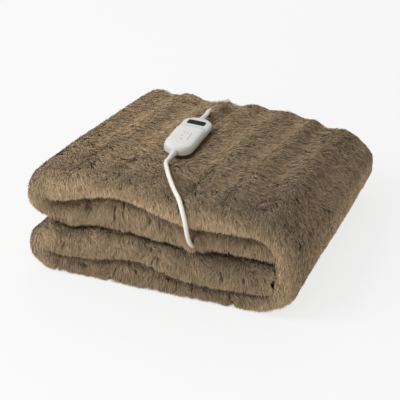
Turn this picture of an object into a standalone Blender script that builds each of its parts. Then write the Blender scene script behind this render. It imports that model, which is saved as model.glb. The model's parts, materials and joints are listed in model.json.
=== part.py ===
"""An electric heated throw of long-pile faux fur, folded for storage, with its in-line hand controller on top.

The cloth is folded once in half, so that a rounded fold faces the front (-Y) and two hems face the back,
and then like a gate, both ends in, and shut like a book. So the section across X is one continuous line:
hem A, ply 2 to the left, upper left fold, ply 1 to the right, the wrap down the right side, ply 4 to the
left, lower left fold, ply 3 to the right, hem B. Metres, +Z up, origin at the middle of the underside.
"""

import math

import bmesh
import bpy
import numpy as np
from mathutils import Vector

# ---- Cloth -------------------------------------------------------------------------------------------
DEPTH = 0.394  # of the folded throw, front to back
LAYER = 0.0155  # one layer of cloth with its pile
SLIT = 0.003  # between the two layers of a ply
HALF_PLY = LAYER + SLIT / 2
NOSE = 0.021  # how far the rounded front of a ply reaches
HEM_ROUND = 0.003
SLIT_FRONT = 0.019  # from a ply's front to the end of its slit

LEFT_END = -0.150  # where the left folds begin
RIGHT_END = 0.127  # where the wrap begins
WRAP_REACH = 0.054
WRAP_POWER = 2.35  # a little squarer than an ellipse
HEM_A_X = 0.161
HEM_B_X = 0.159

# Heights of the plies' middle lines at their two ends, and how far each front stands proud of DEPTH.
PLIES = {
    "ply_2": {"start": (HEM_A_X, 0.0965), "end": (LEFT_END, 0.0965), "steps": 9, "proud": -0.006},
    "upper_left": {"start": (LEFT_END, 0.0965), "end": (LEFT_END, 0.1370), "steps": 8, "proud": 0.001},
    "ply_1": {"start": (LEFT_END, 0.1370), "end": (RIGHT_END, 0.1325), "steps": 28, "proud": 0.003},
    "wrap": {"start": (RIGHT_END, 0.1325), "end": (RIGHT_END, HALF_PLY), "steps": 17, "proud": -0.001},
    "ply_4": {"start": (RIGHT_END, HALF_PLY), "end": (LEFT_END, HALF_PLY), "steps": 9, "proud": -0.005},
    "lower_left": {"start": (LEFT_END, HALF_PLY), "end": (LEFT_END, 0.0560), "steps": 8, "proud": 0.001},
    "ply_3": {"start": (LEFT_END, 0.0560), "end": (HEM_B_X, 0.0535), "steps": 9, "proud": 0.002},
}
RIB_PITCH = 0.052  # the sewn channels of the heating wire, along Y
RIB_DEPTH = 0.0072
BACK_DROP = 0.26  # share of its height that the stack loses towards its hems
RIGHT_DROP = 0.045
CORNER_DROP = 0.065  # and once more at its back right corner
CORNER_FROM = 0.080
CORNER_PULL = 0.017
LEFT_PULL = 0.006  # how far the left side draws in at the middle of its length
LEAD_DIP = 0.045  # share of its height that the back edge gives way under the mains lead
LEAD_DIP_AT = -0.052
LEAD_DIP_WIDTH = 0.026
HEM_RECESS = 0.040  # how far the inner hems stand back from the wrap, away from the front
HEM_RECESS_ALONG = 0.10  # how far from each hem that reaches along the section
HEM_RECESS_FROM = 0.03  # and where it starts and ends behind the front
HEM_RECESS_BLEND = 0.13
PROUD_BLEND = 0.12  # depth over which the proud fronts fade
WAVE = 0.0022  # of the fronts in plan
WAVE_TURN = 31.0  # radians of that wave in a metre along the section
WAVE_BLEND = 0.09
GROUND_BLEND = 0.020  # below this height the outline in plan straightens towards the underside
PRESSED = 0.00005  # anything lower than this lies flat on the floor
GROUND_DRAW = 0.004  # share by which the underside narrows between its ends, so it stands on its corners

# ---- Hand controller ---------------------------------------------------------------------------------
CONTROLLER_LENGTH = 0.126
CONTROLLER_WIDTH = 0.0423
BASE_HEIGHT = 0.0085
BASE_ROUNDING = 0.003
COVER_HEIGHT = 0.0069
COVER_ROUNDING = 0.0035
KEYPAD_INSET = 0.0045  # from the controller's outline
KEYPAD_REAR = 0.016  # where it ends, along the controller's own Y
KEYPAD_BOW = 0.004  # of that end
KEYPAD_HEIGHT = 0.0012
KEYPAD_ROUNDING = 0.0005
CONTROLLER_AT = (-0.0379, 0.0012, 0.1315)
CONTROLLER_TURN = math.radians(5.2)
CONTROLLER_TILT = math.radians(-3.0)
CONTROLLER_ROLL = math.radians(4.9)
BED_REACH = (0.036, 0.094)  # half sizes of the flat that its weight presses into the pile
BED_CLEARANCE = 0.0013
DISPLAY_Y = 0.039
DISPLAY_SIZE = (0.0242, 0.0130)
DISPLAY_HEIGHT = 0.0010
DISPLAY_ROUNDING = 0.0003
GAP = 0.0003  # between pieces that touch

# ---- Leads -------------------------------------------------------------------------------------------
LEAD = 0.006  # diameter
RELIEF_LENGTH = 0.016
RELIEF_ROOT = 0.0100  # diameter
RELIEF_TIP = 0.0072
RELIEF_RISE = 0.0070  # of the lead's exits above the underside of the controller

# The lead from the front strain relief, over the front edge, through the gap between the halves, to its plug.
BLANKET_LEAD_ROUTE = (
    (-0.0301, -0.0778, 0.1426),
    (-0.0296, -0.0865, 0.1433),
    (-0.0285, -0.0945, 0.1443),
    (-0.0256, -0.1028, 0.1458),
    (-0.0208, -0.1130, 0.1477),
    (-0.0154, -0.1232, 0.1491),
    (-0.0102, -0.1328, 0.1499),
    (-0.0046, -0.1425, 0.1499),
    (0.0020, -0.1525, 0.1487),
    (0.0089, -0.1622, 0.1470),
    (0.0158, -0.1718, 0.1459),
    (0.0230, -0.1816, 0.1456),
    (0.0300, -0.1911, 0.1452),
    (0.0362, -0.1991, 0.1411),
    (0.0407, -0.2034, 0.1335),
    (0.0434, -0.2043, 0.1242),
    (0.0447, -0.2036, 0.1148),
    (0.0452, -0.2016, 0.1054),
    (0.0453, -0.1984, 0.0963),
    (0.0456, -0.1938, 0.0874),
    (0.0462, -0.1874, 0.0797),
    (0.0472, -0.1790, 0.0748),
    (0.0486, -0.1690, 0.0732),
    (0.0525, -0.1550, 0.0724),
    (0.0610, -0.1370, 0.0719),
    (0.0740, -0.1170, 0.0711),
    (0.0885, -0.0985, 0.0701),
    (0.1020, -0.0820, 0.0690),
    (0.1150, -0.0650, 0.0680),
    (0.1260, -0.0480, 0.0668),
    (0.1340, -0.0320, 0.0655),
    (0.1370, -0.0200, 0.0645),
    (0.1375, -0.0108, 0.0640),
)
PLUG_SIZE = (0.018, 0.030, 0.010)
SOCKET_SIZE = (0.020, 0.026, 0.012)
PLUG_ROUNDING = 0.002

# The mains lead from the rear strain relief, over the back edge and down, to the coil on the floor.
MAINS_LEAD_ROUTE = (
    (-0.0446, 0.0811, 0.1343),
    (-0.0454, 0.0897, 0.1338),
    (-0.0475, 0.0990, 0.1322),
    (-0.0502, 0.1090, 0.1296),
    (-0.0521, 0.1200, 0.1266),
    (-0.0527, 0.1340, 0.1238),
    (-0.0525, 0.1500, 0.1208),
    (-0.0530, 0.1650, 0.1176),
    (-0.0535, 0.1800, 0.1150),
    (-0.0540, 0.1920, 0.1128),
    (-0.0545, 0.2012, 0.1084),
    (-0.0550, 0.2070, 0.1012),
    (-0.0555, 0.2098, 0.0920),
    (-0.0560, 0.2105, 0.0780),
    (-0.0563, 0.2108, 0.0600),
    (-0.0560, 0.2112, 0.0430),
    (-0.0545, 0.2120, 0.0275),
    (-0.0500, 0.2132, 0.0148),
    (-0.0415, 0.2150, 0.0068),
    (-0.0300, 0.2172, 0.0036),
    (-0.0180, 0.2190, 0.0032),
    (-0.0060, 0.2201, 0.0032),
    (0.0025, 0.2203, 0.0032),
)
COIL_AT = (0.010, 0.263)
COIL_MEAN = 0.062  # diameter at the middle of the turns
COIL_SECTION = 0.018  # three turns across and three high
COIL_CORNER = 0.003
COIL_RISE = 0.0016  # it rests on its tie
TIE_WIDTH = 0.008
TIE_THICKNESS = 0.001
TIE_ANGLE = math.radians(150.0)
MAINS_PLUG_SIZE = (0.034, 0.026, 0.014)
MAINS_PLUG_ROUNDING = 0.003
MAINS_PLUG_RELIEF = 0.030  # length
MAINS_PLUG_AT = (0.0131, 0.2188, 0.0072)  # tip of its strain relief
PIN_SIZE = (0.017, 0.0015, 0.0063)
PIN_ROUNDING = 0.0003
PIN_SPACING = 0.0127

BLANKET_COLOUR = (0.175, 0.125, 0.082, 1.0)
WHITE_PLASTIC = (0.78, 0.77, 0.74, 1.0)
DARK_WINDOW = (0.012, 0.016, 0.015, 1.0)
LEAD_WHITE = (0.80, 0.77, 0.72, 1.0)
BRASS = (0.70, 0.58, 0.35, 1.0)


# ---- Scene helpers -----------------------------------------------------------------------------------
def clear_scene():
    for thing in list(bpy.data.objects):
        bpy.data.objects.remove(thing, do_unlink=True)


def make_collection(name):
    collection = bpy.data.collections.new(name)
    bpy.context.scene.collection.children.link(collection)
    return collection


def make_material(name, colour, roughness, metallic=0.0):
    material = bpy.data.materials.new(name)
    material.use_nodes = True
    shader = material.node_tree.nodes["Principled BSDF"]
    shader.inputs["Base Color"].default_value = colour
    shader.inputs["Roughness"].default_value = roughness
    shader.inputs["Metallic"].default_value = metallic
    material.diffuse_color = colour
    return material


def add_object(name, data, collection, material, parent=None):
    thing = bpy.data.objects.new(name, data)
    thing.data.materials.append(material)
    thing.parent = parent
    collection.objects.link(thing)
    return thing


def smooth_step(value):
    value = np.clip(value, 0.0, 1.0)
    return value * value * (3.0 - 2.0 * value)


# ---- Cloth -------------------------------------------------------------------------------------------
def ply_profile():
    """The ply's section in (offset, depth): a hairpin of two layers, closed and rounded at the front."""
    back = DEPTH - HEM_ROUND
    middle = (HALF_PLY + SLIT / 2) / 2
    angles = np.linspace(0.0, math.pi, 8)[1:-1]
    outline = [(HALF_PLY, depth) for depth in np.linspace(back, NOSE, 17)]
    outline += [(HALF_PLY * math.cos(a), NOSE * (1.0 - math.sin(a))) for a in angles]
    outline += [(-HALF_PLY, depth) for depth in np.linspace(NOSE, back, 6)]
    outline.append((-middle, DEPTH))
    outline += [(-SLIT / 2, depth) for depth in np.linspace(back, SLIT_FRONT, 4)]
    outline += [(SLIT / 2, depth) for depth in np.linspace(SLIT_FRONT, back, 4)]
    outline.append((middle, DEPTH))
    return np.array(outline)


def straight_stretch(start, end):
    """A ply's middle line, level at both ends."""
    share = np.linspace(0.0, 1.0, 200)
    x = start[0] + (end[0] - start[0]) * share
    z = start[1] + (end[1] - start[1]) * smooth_step(share)
    return np.column_stack([x, z])


def round_stretch(start, end, reach, power):
    """A fold's middle line: half a superellipse that bulges by reach from start to end."""
    angle = np.linspace(0.0, math.pi, 400)
    across = np.sin(angle) ** (2.0 / power)
    up = np.sign(np.cos(angle)) * np.abs(np.cos(angle)) ** (2.0 / power)
    middle = (start[1] + end[1]) / 2
    half = (start[1] - end[1]) / 2
    return np.column_stack([start[0] + reach * across, middle + half * up])


def resample(points, count):
    """The same line with count equal steps."""
    steps = np.linalg.norm(np.diff(points, axis=0), axis=1)
    along = np.concatenate([[0.0], np.cumsum(steps)])
    wanted = np.linspace(0.0, along[-1], count + 1)
    return np.column_stack([np.interp(wanted, along, points[:, k]) for k in (0, 1)])


def folded_line():
    """The middle line of the whole section, with how far each point's front stands proud and its rib weight."""
    lines, proud, ribbed = [], [], []
    previous = PLIES["ply_2"]["proud"]
    for name, row in PLIES.items():
        start, end = row["start"], row["end"]
        if name == "wrap":
            line = round_stretch(start, end, WRAP_REACH, WRAP_POWER)
        elif name.endswith("left"):
            line = round_stretch(start, end, -abs(end[1] - start[1]) / 2, 2.0)
        else:
            line = straight_stretch(start, end)
        line = resample(line, row["steps"])
        share = np.linspace(0.0, 1.0, row["steps"] + 1)
        first = 0 if not lines else 1
        lines.append(line[first:])
        proud.append((previous + (row["proud"] - previous) * smooth_step(share * 2.0))[first:])
        weight = {"ply_1": np.ones_like(share), "wrap": 1.0 - smooth_step(share * 1.6)}
        weight["upper_left"] = smooth_step(share)
        ribbed.append(weight.get(name, np.zeros_like(share))[first:])
        previous = row["proud"]
    return np.concatenate(lines), np.concatenate(proud), np.concatenate(ribbed)


def swept_cloth():
    """The ply's section carried along the folded line, as an array of points [section, place on the outline]."""
    line, proud, ribbed = folded_line()
    outline = ply_profile()
    tangent = np.gradient(line, axis=0)
    tangent /= np.linalg.norm(tangent, axis=1)[:, None]
    normal = np.column_stack([-tangent[:, 1], tangent[:, 0]])
    steps = np.linalg.norm(np.diff(line, axis=0), axis=1)
    along = np.concatenate([[0.0], np.cumsum(steps)])
    rib = 0.5 - 0.5 * np.cos(2.0 * math.pi * along / RIB_PITCH)
    trough = 1.0 - rib * ribbed * RIB_DEPTH / HALF_PLY
    offset = np.where(outline[:, 0] > SLIT, outline[:, 0] * trough[:, None], outline[:, 0])
    x = line[:, :1] + normal[:, :1] * offset
    z = line[:, 1:] + normal[:, 1:] * offset
    forward = proud[:, None] * (1.0 - smooth_step(outline[:, 1] / PROUD_BLEND))
    forward = forward - WAVE * np.sin(along * WAVE_TURN)[:, None] * (1.0 - smooth_step(outline[:, 1] / WAVE_BLEND))
    depth = outline[:, 1] - forward * smooth_step(z / GROUND_BLEND)
    nearest_hem = np.minimum(along, along[-1] - along)
    hem = smooth_step(1.0 - nearest_hem / HEM_RECESS_ALONG)[:, None]
    x = x - HEM_RECESS * hem * smooth_step((depth - HEM_RECESS_FROM) / HEM_RECESS_BLEND)
    return np.stack([x, depth - DEPTH / 2, z], axis=2)


def settle(points):
    """The pile's slump: lower towards the hems at the back and towards the right, with a bed for the controller."""
    x, y, z = points[..., 0], points[..., 1], points[..., 2]
    lifted = smooth_step(z / GROUND_BLEND)
    back = np.clip(y / DEPTH + 0.5, 0.0, 1.0)
    right = np.clip(x / (2.0 * abs(LEFT_END)) + 0.5, 0.0, 1.0)
    z = z * (1.0 - BACK_DROP * back**1.7) * (1.0 - RIGHT_DROP * smooth_step(right))
    corner = smooth_step((x - CORNER_FROM) / (RIGHT_END - CORNER_FROM)) * back**2
    z = z * (1.0 - CORNER_DROP * corner)
    z = z * (1.0 - LEAD_DIP * back**3 * np.exp(-(((x - LEAD_DIP_AT) / LEAD_DIP_WIDTH) ** 2)))
    z = np.where(z < PRESSED, 0.0, z)
    between = np.clip((x - LEFT_END) / (RIGHT_END - LEFT_END), 0.0, 1.0)
    y = np.where(z > 0.0, y, y * (1.0 - 4.0 * GROUND_DRAW * between * (1.0 - between)))
    draw_in = LEFT_PULL * np.sin(math.pi * back) * (1.0 - smooth_step(3.0 * right))
    x = x + (draw_in - CORNER_PULL * corner) * lifted
    aside = x - CONTROLLER_AT[0] + (y - CONTROLLER_AT[1]) * math.tan(CONTROLLER_TURN)
    along = y - CONTROLLER_AT[1]
    window = np.exp(-((aside / BED_REACH[0]) ** 6) - (along / BED_REACH[1]) ** 8)
    slope = along * math.tan(CONTROLLER_TILT) - aside * math.tan(CONTROLLER_ROLL)
    underside = CONTROLLER_AT[2] + slope - BED_CLEARANCE
    z = z - window * np.maximum(z - underside, 0.0)
    return np.stack([x, y, z], axis=2)


def make_cloth(collection, material):
    points = settle(swept_cloth())
    sections, places = points.shape[:2]
    flat = points.reshape(-1, 3)
    flat[:, :2] -= (flat[:, :2].max(axis=0) + flat[:, :2].min(axis=0)) / 2
    here = np.arange(places)
    beside = np.roll(here, -1)
    faces = []
    for section in range(sections - 1):
        first, second = section * places, (section + 1) * places
        ring = np.column_stack([first + here, first + beside, second + beside, second + here])
        faces.extend(ring.tolist())
    faces.append(here[::-1].tolist())
    faces.append((here + (sections - 1) * places).tolist())
    mesh = bpy.data.meshes.new("blanket")
    mesh.from_pydata(flat.tolist(), [], faces)
    shape = bmesh.new()
    shape.from_mesh(mesh)
    bmesh.ops.recalc_face_normals(shape, faces=shape.faces)
    shape.to_mesh(mesh)
    shape.free()
    mesh.shade_smooth()
    mesh.set_sharp_from_angle(angle=math.radians(50))
    return add_object("blanket", mesh, collection, material)


# ---- Hand controller ---------------------------------------------------------------------------------
def stadium_points(length, width, turns=9):
    """The outline of a bar with round ends, along Y."""
    radius = width / 2
    reach = length / 2 - radius
    front = [math.pi + math.pi * k / turns for k in range(turns + 1)]
    rear = [math.pi * k / turns for k in range(turns + 1)]
    outline = [(radius * math.cos(a), -reach + radius * math.sin(a)) for a in front]
    outline += [(radius * math.cos(a), reach + radius * math.sin(a)) for a in rear]
    return outline


def make_slab(name, outline, bottom, height, rounding, collection, material, parent):
    """A flat outline with rounded upper and lower edges, as a filled and bevelled curve."""
    curve = bpy.data.curves.new(name, "CURVE")
    curve.dimensions = "2D"
    curve.fill_mode = "BOTH"
    curve.extrude = height / 2 - rounding
    curve.bevel_depth = rounding
    curve.bevel_resolution = 2
    curve.offset = -rounding
    spline = curve.splines.new("POLY")
    spline.points.add(len(outline) - 1)
    for point, (x, y) in zip(spline.points, outline):
        point.co = (x, y, 0.0, 1.0)
    spline.use_cyclic_u = True
    slab = add_object(name, curve, collection, material, parent)
    slab.location = (0.0, 0.0, bottom + height / 2)
    return slab


def keypad_outline():
    """The raised panel: the controller's own front end, drawn in, closed by a shallow bow across the middle."""
    radius = CONTROLLER_WIDTH / 2 - KEYPAD_INSET
    reach = CONTROLLER_LENGTH / 2 - CONTROLLER_WIDTH / 2
    front = [math.pi + math.pi * k / 10 for k in range(11)]
    outline = [(radius * math.cos(a), -reach + radius * math.sin(a)) for a in front]
    across = [radius * (1.0 - k / 3.0) for k in range(7)]
    outline += [(x, KEYPAD_REAR + KEYPAD_BOW * (1.0 - (x / radius) ** 2)) for x in across]
    return outline


def display_outline():
    width, height = DISPLAY_SIZE
    return [(-width / 2, -height / 2), (width / 2, -height / 2), (width / 2, height / 2), (-width / 2, height / 2)]


def make_cone(name, length, collection, material, parent=None):
    """A tapered strain relief along Z, its root below."""
    cone = bmesh.new()
    bmesh.ops.create_cone(
        cone, cap_ends=True, segments=16, radius1=RELIEF_ROOT / 2, radius2=RELIEF_TIP / 2, depth=length
    )
    mesh = bpy.data.meshes.new(name)
    cone.to_mesh(mesh)
    cone.free()
    mesh.shade_smooth()
    mesh.set_sharp_from_angle(angle=math.radians(40))
    return add_object(name, mesh, collection, material, parent)


def make_relief(name, y_sign, collection, material, parent):
    """The strain relief at one end of the controller, level along Y."""
    relief = make_cone(name, RELIEF_LENGTH, collection, material, parent)
    relief.rotation_euler = (-y_sign * math.pi / 2, 0.0, 0.0)
    middle = CONTROLLER_LENGTH / 2 + GAP + RELIEF_LENGTH / 2
    relief.location = (0.0, y_sign * middle, RELIEF_RISE)
    return relief


def make_controller(collection, materials):
    pose = bpy.data.objects.new("controller_pose", None)
    pose.location = CONTROLLER_AT
    pose.rotation_mode = "YXZ"
    pose.rotation_euler = (CONTROLLER_TILT, CONTROLLER_ROLL, CONTROLLER_TURN)
    collection.objects.link(pose)
    plastic = materials["white_plastic"]
    outline = stadium_points(CONTROLLER_LENGTH, CONTROLLER_WIDTH)
    make_slab("controller_base", outline, 0.0, BASE_HEIGHT, BASE_ROUNDING, collection, plastic, pose)
    level = BASE_HEIGHT + GAP
    make_slab("controller_cover", outline, level, COVER_HEIGHT, COVER_ROUNDING, collection, plastic, pose)
    level += COVER_HEIGHT + GAP
    make_slab(
        "controller_keypad", keypad_outline(), level, KEYPAD_HEIGHT, KEYPAD_ROUNDING,
        collection, materials["keypad"], pose,
    )
    window = make_slab(
        "controller_display", display_outline(), level, DISPLAY_HEIGHT, DISPLAY_ROUNDING,
        collection, materials["dark_window"], pose,
    )
    window.location.y = DISPLAY_Y
    make_relief("strain_relief_front", -1, collection, plastic, pose)
    make_relief("strain_relief_rear", 1, collection, plastic, pose)
    return pose


# ---- Leads -------------------------------------------------------------------------------------------
def smooth_route(route, spacing):
    """Points a spacing apart on a Catmull-Rom curve through the route's points."""
    points = [Vector(p) for p in route]
    points = [2 * points[0] - points[1], *points, 2 * points[-1] - points[-2]]
    dense = []
    for a, b, c, d in zip(points, points[1:], points[2:], points[3:]):
        for k in range(24):
            t = k / 24
            dense.append(
                0.5 * (2 * b + (c - a) * t + (2 * a - 5 * b + 4 * c - d) * t**2 + (3 * b - a - 3 * c + d) * t**3)
            )
    dense.append(points[-2])
    dense = np.array([tuple(p) for p in dense])
    steps = np.linalg.norm(np.diff(dense, axis=0), axis=1)
    along = np.concatenate([[0.0], np.cumsum(steps)])
    wanted = np.linspace(0.0, along[-1], max(2, round(along[-1] / spacing)) + 1)
    return np.column_stack([np.interp(wanted, along, dense[:, k]) for k in range(3)])


def make_lead(name, route, collection, material):
    points = smooth_route(route, 2 * LEAD)
    curve = bpy.data.curves.new(name, "CURVE")
    curve.dimensions = "3D"
    curve.bevel_depth = LEAD / 2
    curve.bevel_resolution = 2
    curve.use_fill_caps = True
    spline = curve.splines.new("POLY")
    spline.points.add(len(points) - 1)
    for point, place in zip(spline.points, points):
        point.co = (*place, 1.0)
    return add_object(name, curve, collection, material)


def make_block(name, size, middle, rounding, collection, material):
    """A plain rounded block."""
    block = bmesh.new()
    bmesh.ops.create_cube(block, size=1.0)
    bmesh.ops.scale(block, vec=size, verts=block.verts)
    mesh = bpy.data.meshes.new(name)
    block.to_mesh(mesh)
    block.free()
    thing = add_object(name, mesh, collection, material)
    thing.location = middle
    bevel = thing.modifiers.new("rounded edges", "BEVEL")
    bevel.width = rounding
    bevel.segments = 3
    return thing


def make_blanket_plug(collection, material):
    """The plug on the blanket's lead and the socket at the inner hem that it is pushed into, end to end along Y."""
    x, y, z = BLANKET_LEAD_ROUTE[-1]
    plug_y = y + 3 * GAP + PLUG_SIZE[1] / 2
    make_block("lead_plug", PLUG_SIZE, (x, plug_y, z), PLUG_ROUNDING, collection, material)
    socket_y = plug_y + PLUG_SIZE[1] / 2 + GAP + SOCKET_SIZE[1] / 2
    make_block("blanket_socket", SOCKET_SIZE, (x, socket_y, z), PLUG_ROUNDING, collection, material)


def rounded_square(half, corner):
    """A square outline about the origin, its corners rounded."""
    reach = half - corner
    outline = []
    for quarter, (side_x, side_y) in enumerate(((1, 1), (-1, 1), (-1, -1), (1, -1))):
        for k in range(4):
            angle = (quarter + k / 3.0) * math.pi / 2
            outline.append((side_x * reach + corner * math.cos(angle), side_y * reach + corner * math.sin(angle)))
    return outline


def make_coil(collection, material, tie_material):
    """The wound length of mains lead as one turned ring, and the tie round it."""
    half = COIL_SECTION / 2
    ring = bmesh.new()
    outline = rounded_square(half, COIL_CORNER)
    corners = [ring.verts.new((COIL_MEAN / 2 + x, 0.0, half + z)) for x, z in outline]
    for first, second in zip(corners, corners[1:] + corners[:1]):
        ring.edges.new((second, first))
    mesh = bpy.data.meshes.new("mains_coil")
    ring.to_mesh(mesh)
    ring.free()
    coil = add_object("mains_coil", mesh, collection, material)
    coil.location = (*COIL_AT, COIL_RISE)
    turned = coil.modifiers.new("turned", "SCREW")
    turned.steps = turned.render_steps = 36
    turned.use_merge_vertices = True
    turned.merge_threshold = 0.0001

    clear = half + 3 * GAP + TIE_THICKNESS / 2
    curve = bpy.data.curves.new("coil_tie", "CURVE")
    curve.dimensions = "3D"
    curve.fill_mode = "FULL"
    curve.bevel_depth = TIE_THICKNESS / 2
    curve.bevel_resolution = 1
    curve.extrude = TIE_WIDTH / 2
    spline = curve.splines.new("POLY")
    loop = rounded_square(clear, COIL_CORNER)
    spline.points.add(len(loop) - 1)
    for point, (x, y) in zip(spline.points, loop):
        point.co = (x, y, 0.0, 1.0)
    spline.use_cyclic_u = True
    tie = add_object("coil_tie", curve, collection, tie_material)
    middle = COIL_MEAN / 2
    tie.location = (
        COIL_AT[0] + middle * math.cos(TIE_ANGLE), COIL_AT[1] + middle * math.sin(TIE_ANGLE), COIL_RISE + half
    )
    tie.rotation_euler = (math.pi / 2, 0.0, TIE_ANGLE)


def make_mains_plug(collection, body_material, pin_material):
    """A two-pin plug lying beside the coil, pointing along +X, with its own strain relief."""
    x, y, z = MAINS_PLUG_AT
    relief = make_cone("mains_plug_relief", MAINS_PLUG_RELIEF, collection, body_material)
    relief.rotation_euler = (0.0, -math.pi / 2, 0.0)
    relief.location = (x + MAINS_PLUG_RELIEF / 2, y, z)
    x += MAINS_PLUG_RELIEF + GAP + MAINS_PLUG_SIZE[0] / 2
    make_block("mains_plug", MAINS_PLUG_SIZE, (x, y, z), MAINS_PLUG_ROUNDING, collection, body_material)
    x += MAINS_PLUG_SIZE[0] / 2 + GAP + PIN_SIZE[0] / 2
    for name, side in (("plug_pin_front", -1), ("plug_pin_rear", 1)):
        middle = (x, y + side * PIN_SPACING / 2, z)
        make_block(name, PIN_SIZE, middle, PIN_ROUNDING, collection, pin_material)


def main():
    clear_scene()
    collection = make_collection("heated_blanket")
    materials = {
        "pile": make_material("pile", BLANKET_COLOUR, 0.95),
        "white_plastic": make_material("white_plastic", WHITE_PLASTIC, 0.35),
        "keypad": make_material("keypad", WHITE_PLASTIC, 0.5),
        "dark_window": make_material("dark_window", DARK_WINDOW, 0.15),
        "lead_white": make_material("lead_white", LEAD_WHITE, 0.4),
        "brass": make_material("brass", BRASS, 0.3, 1.0),
    }
    make_cloth(collection, materials["pile"])
    make_controller(collection, materials)
    make_lead("blanket_lead", BLANKET_LEAD_ROUTE, collection, materials["lead_white"])
    make_blanket_plug(collection, materials["white_plastic"])
    make_lead("mains_lead", MAINS_LEAD_ROUTE, collection, materials["lead_white"])
    make_coil(collection, materials["lead_white"], materials["keypad"])
    make_mains_plug(collection, materials["white_plastic"], materials["brass"])


main()
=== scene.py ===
"""Looks of a long-pile electric heated throw, folded for storage, with its hand controller and two leads.

The folded cloth is one thin sheet carried along the folds, and its pile is grown on it as joined meshes of
tapered hairs. The controller, strain reliefs, plugs and tie are lofted surfaces, and the leads are curves.
"""

import json
import logging
import math
from collections.abc import Callable, Iterator
from dataclasses import dataclass, field
from enum import Enum

import bmesh
import bpy
import numpy as np
from mathutils import Euler, Matrix, Vector
from numpy.typing import NDArray

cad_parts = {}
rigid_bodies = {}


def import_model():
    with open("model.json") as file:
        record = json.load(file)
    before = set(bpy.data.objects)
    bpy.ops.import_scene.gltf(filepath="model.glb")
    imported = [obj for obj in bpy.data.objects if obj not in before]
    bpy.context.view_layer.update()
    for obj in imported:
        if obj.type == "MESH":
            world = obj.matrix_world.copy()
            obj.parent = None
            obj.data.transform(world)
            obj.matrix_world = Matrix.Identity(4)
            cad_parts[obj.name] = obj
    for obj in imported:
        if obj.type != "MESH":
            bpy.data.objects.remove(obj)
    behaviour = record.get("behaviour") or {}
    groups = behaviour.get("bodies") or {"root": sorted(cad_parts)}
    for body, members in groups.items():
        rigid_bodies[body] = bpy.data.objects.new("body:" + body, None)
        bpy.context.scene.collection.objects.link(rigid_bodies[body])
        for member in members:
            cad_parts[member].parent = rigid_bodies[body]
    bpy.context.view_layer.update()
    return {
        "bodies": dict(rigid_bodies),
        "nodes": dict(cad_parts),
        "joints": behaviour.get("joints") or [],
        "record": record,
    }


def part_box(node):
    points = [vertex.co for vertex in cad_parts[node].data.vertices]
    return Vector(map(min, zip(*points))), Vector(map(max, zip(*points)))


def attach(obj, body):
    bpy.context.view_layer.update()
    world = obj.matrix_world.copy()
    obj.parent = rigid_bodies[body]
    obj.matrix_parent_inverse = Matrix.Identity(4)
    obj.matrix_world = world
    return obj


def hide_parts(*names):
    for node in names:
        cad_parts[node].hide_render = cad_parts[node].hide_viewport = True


Array = NDArray[np.float64]
Pair = tuple[float, float]
Triple = tuple[float, float, float]
Stops = list[tuple[float, Triple]]
LOG = logging.getLogger("heated_throw")


# ---- Shader graphs -------------------------------------------------------------------------------------
def operator(operation: str, swapped: bool = False) -> Callable[["Value", object], "Value"]:
    """Makes an operator method that adds one Math node.

    Args:
        operation: The Math node's operation.
        swapped: Whether it is the reflected form, with its operands in the other order.

    Returns:
        The method.
    """

    def method(value: "Value", other: object) -> "Value":
        """One Math node on a value and another value or a number."""
        pair = (other, value) if swapped else (value, other)
        node = value.graph.add("ShaderNodeMath", {"operation": operation}, dict(enumerate(pair)))
        return Value(value.graph, node.outputs[0])

    return method


@dataclass(frozen=True)
class Value:
    """A graph's socket that adds Math nodes where it stands in an expression."""

    graph: "Graph"
    socket: bpy.types.NodeSocket

    __add__, __radd__ = operator("ADD"), operator("ADD", swapped=True)
    __sub__, __rsub__ = operator("SUBTRACT"), operator("SUBTRACT", swapped=True)
    __mul__, __rmul__ = operator("MULTIPLY"), operator("MULTIPLY", swapped=True)


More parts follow.
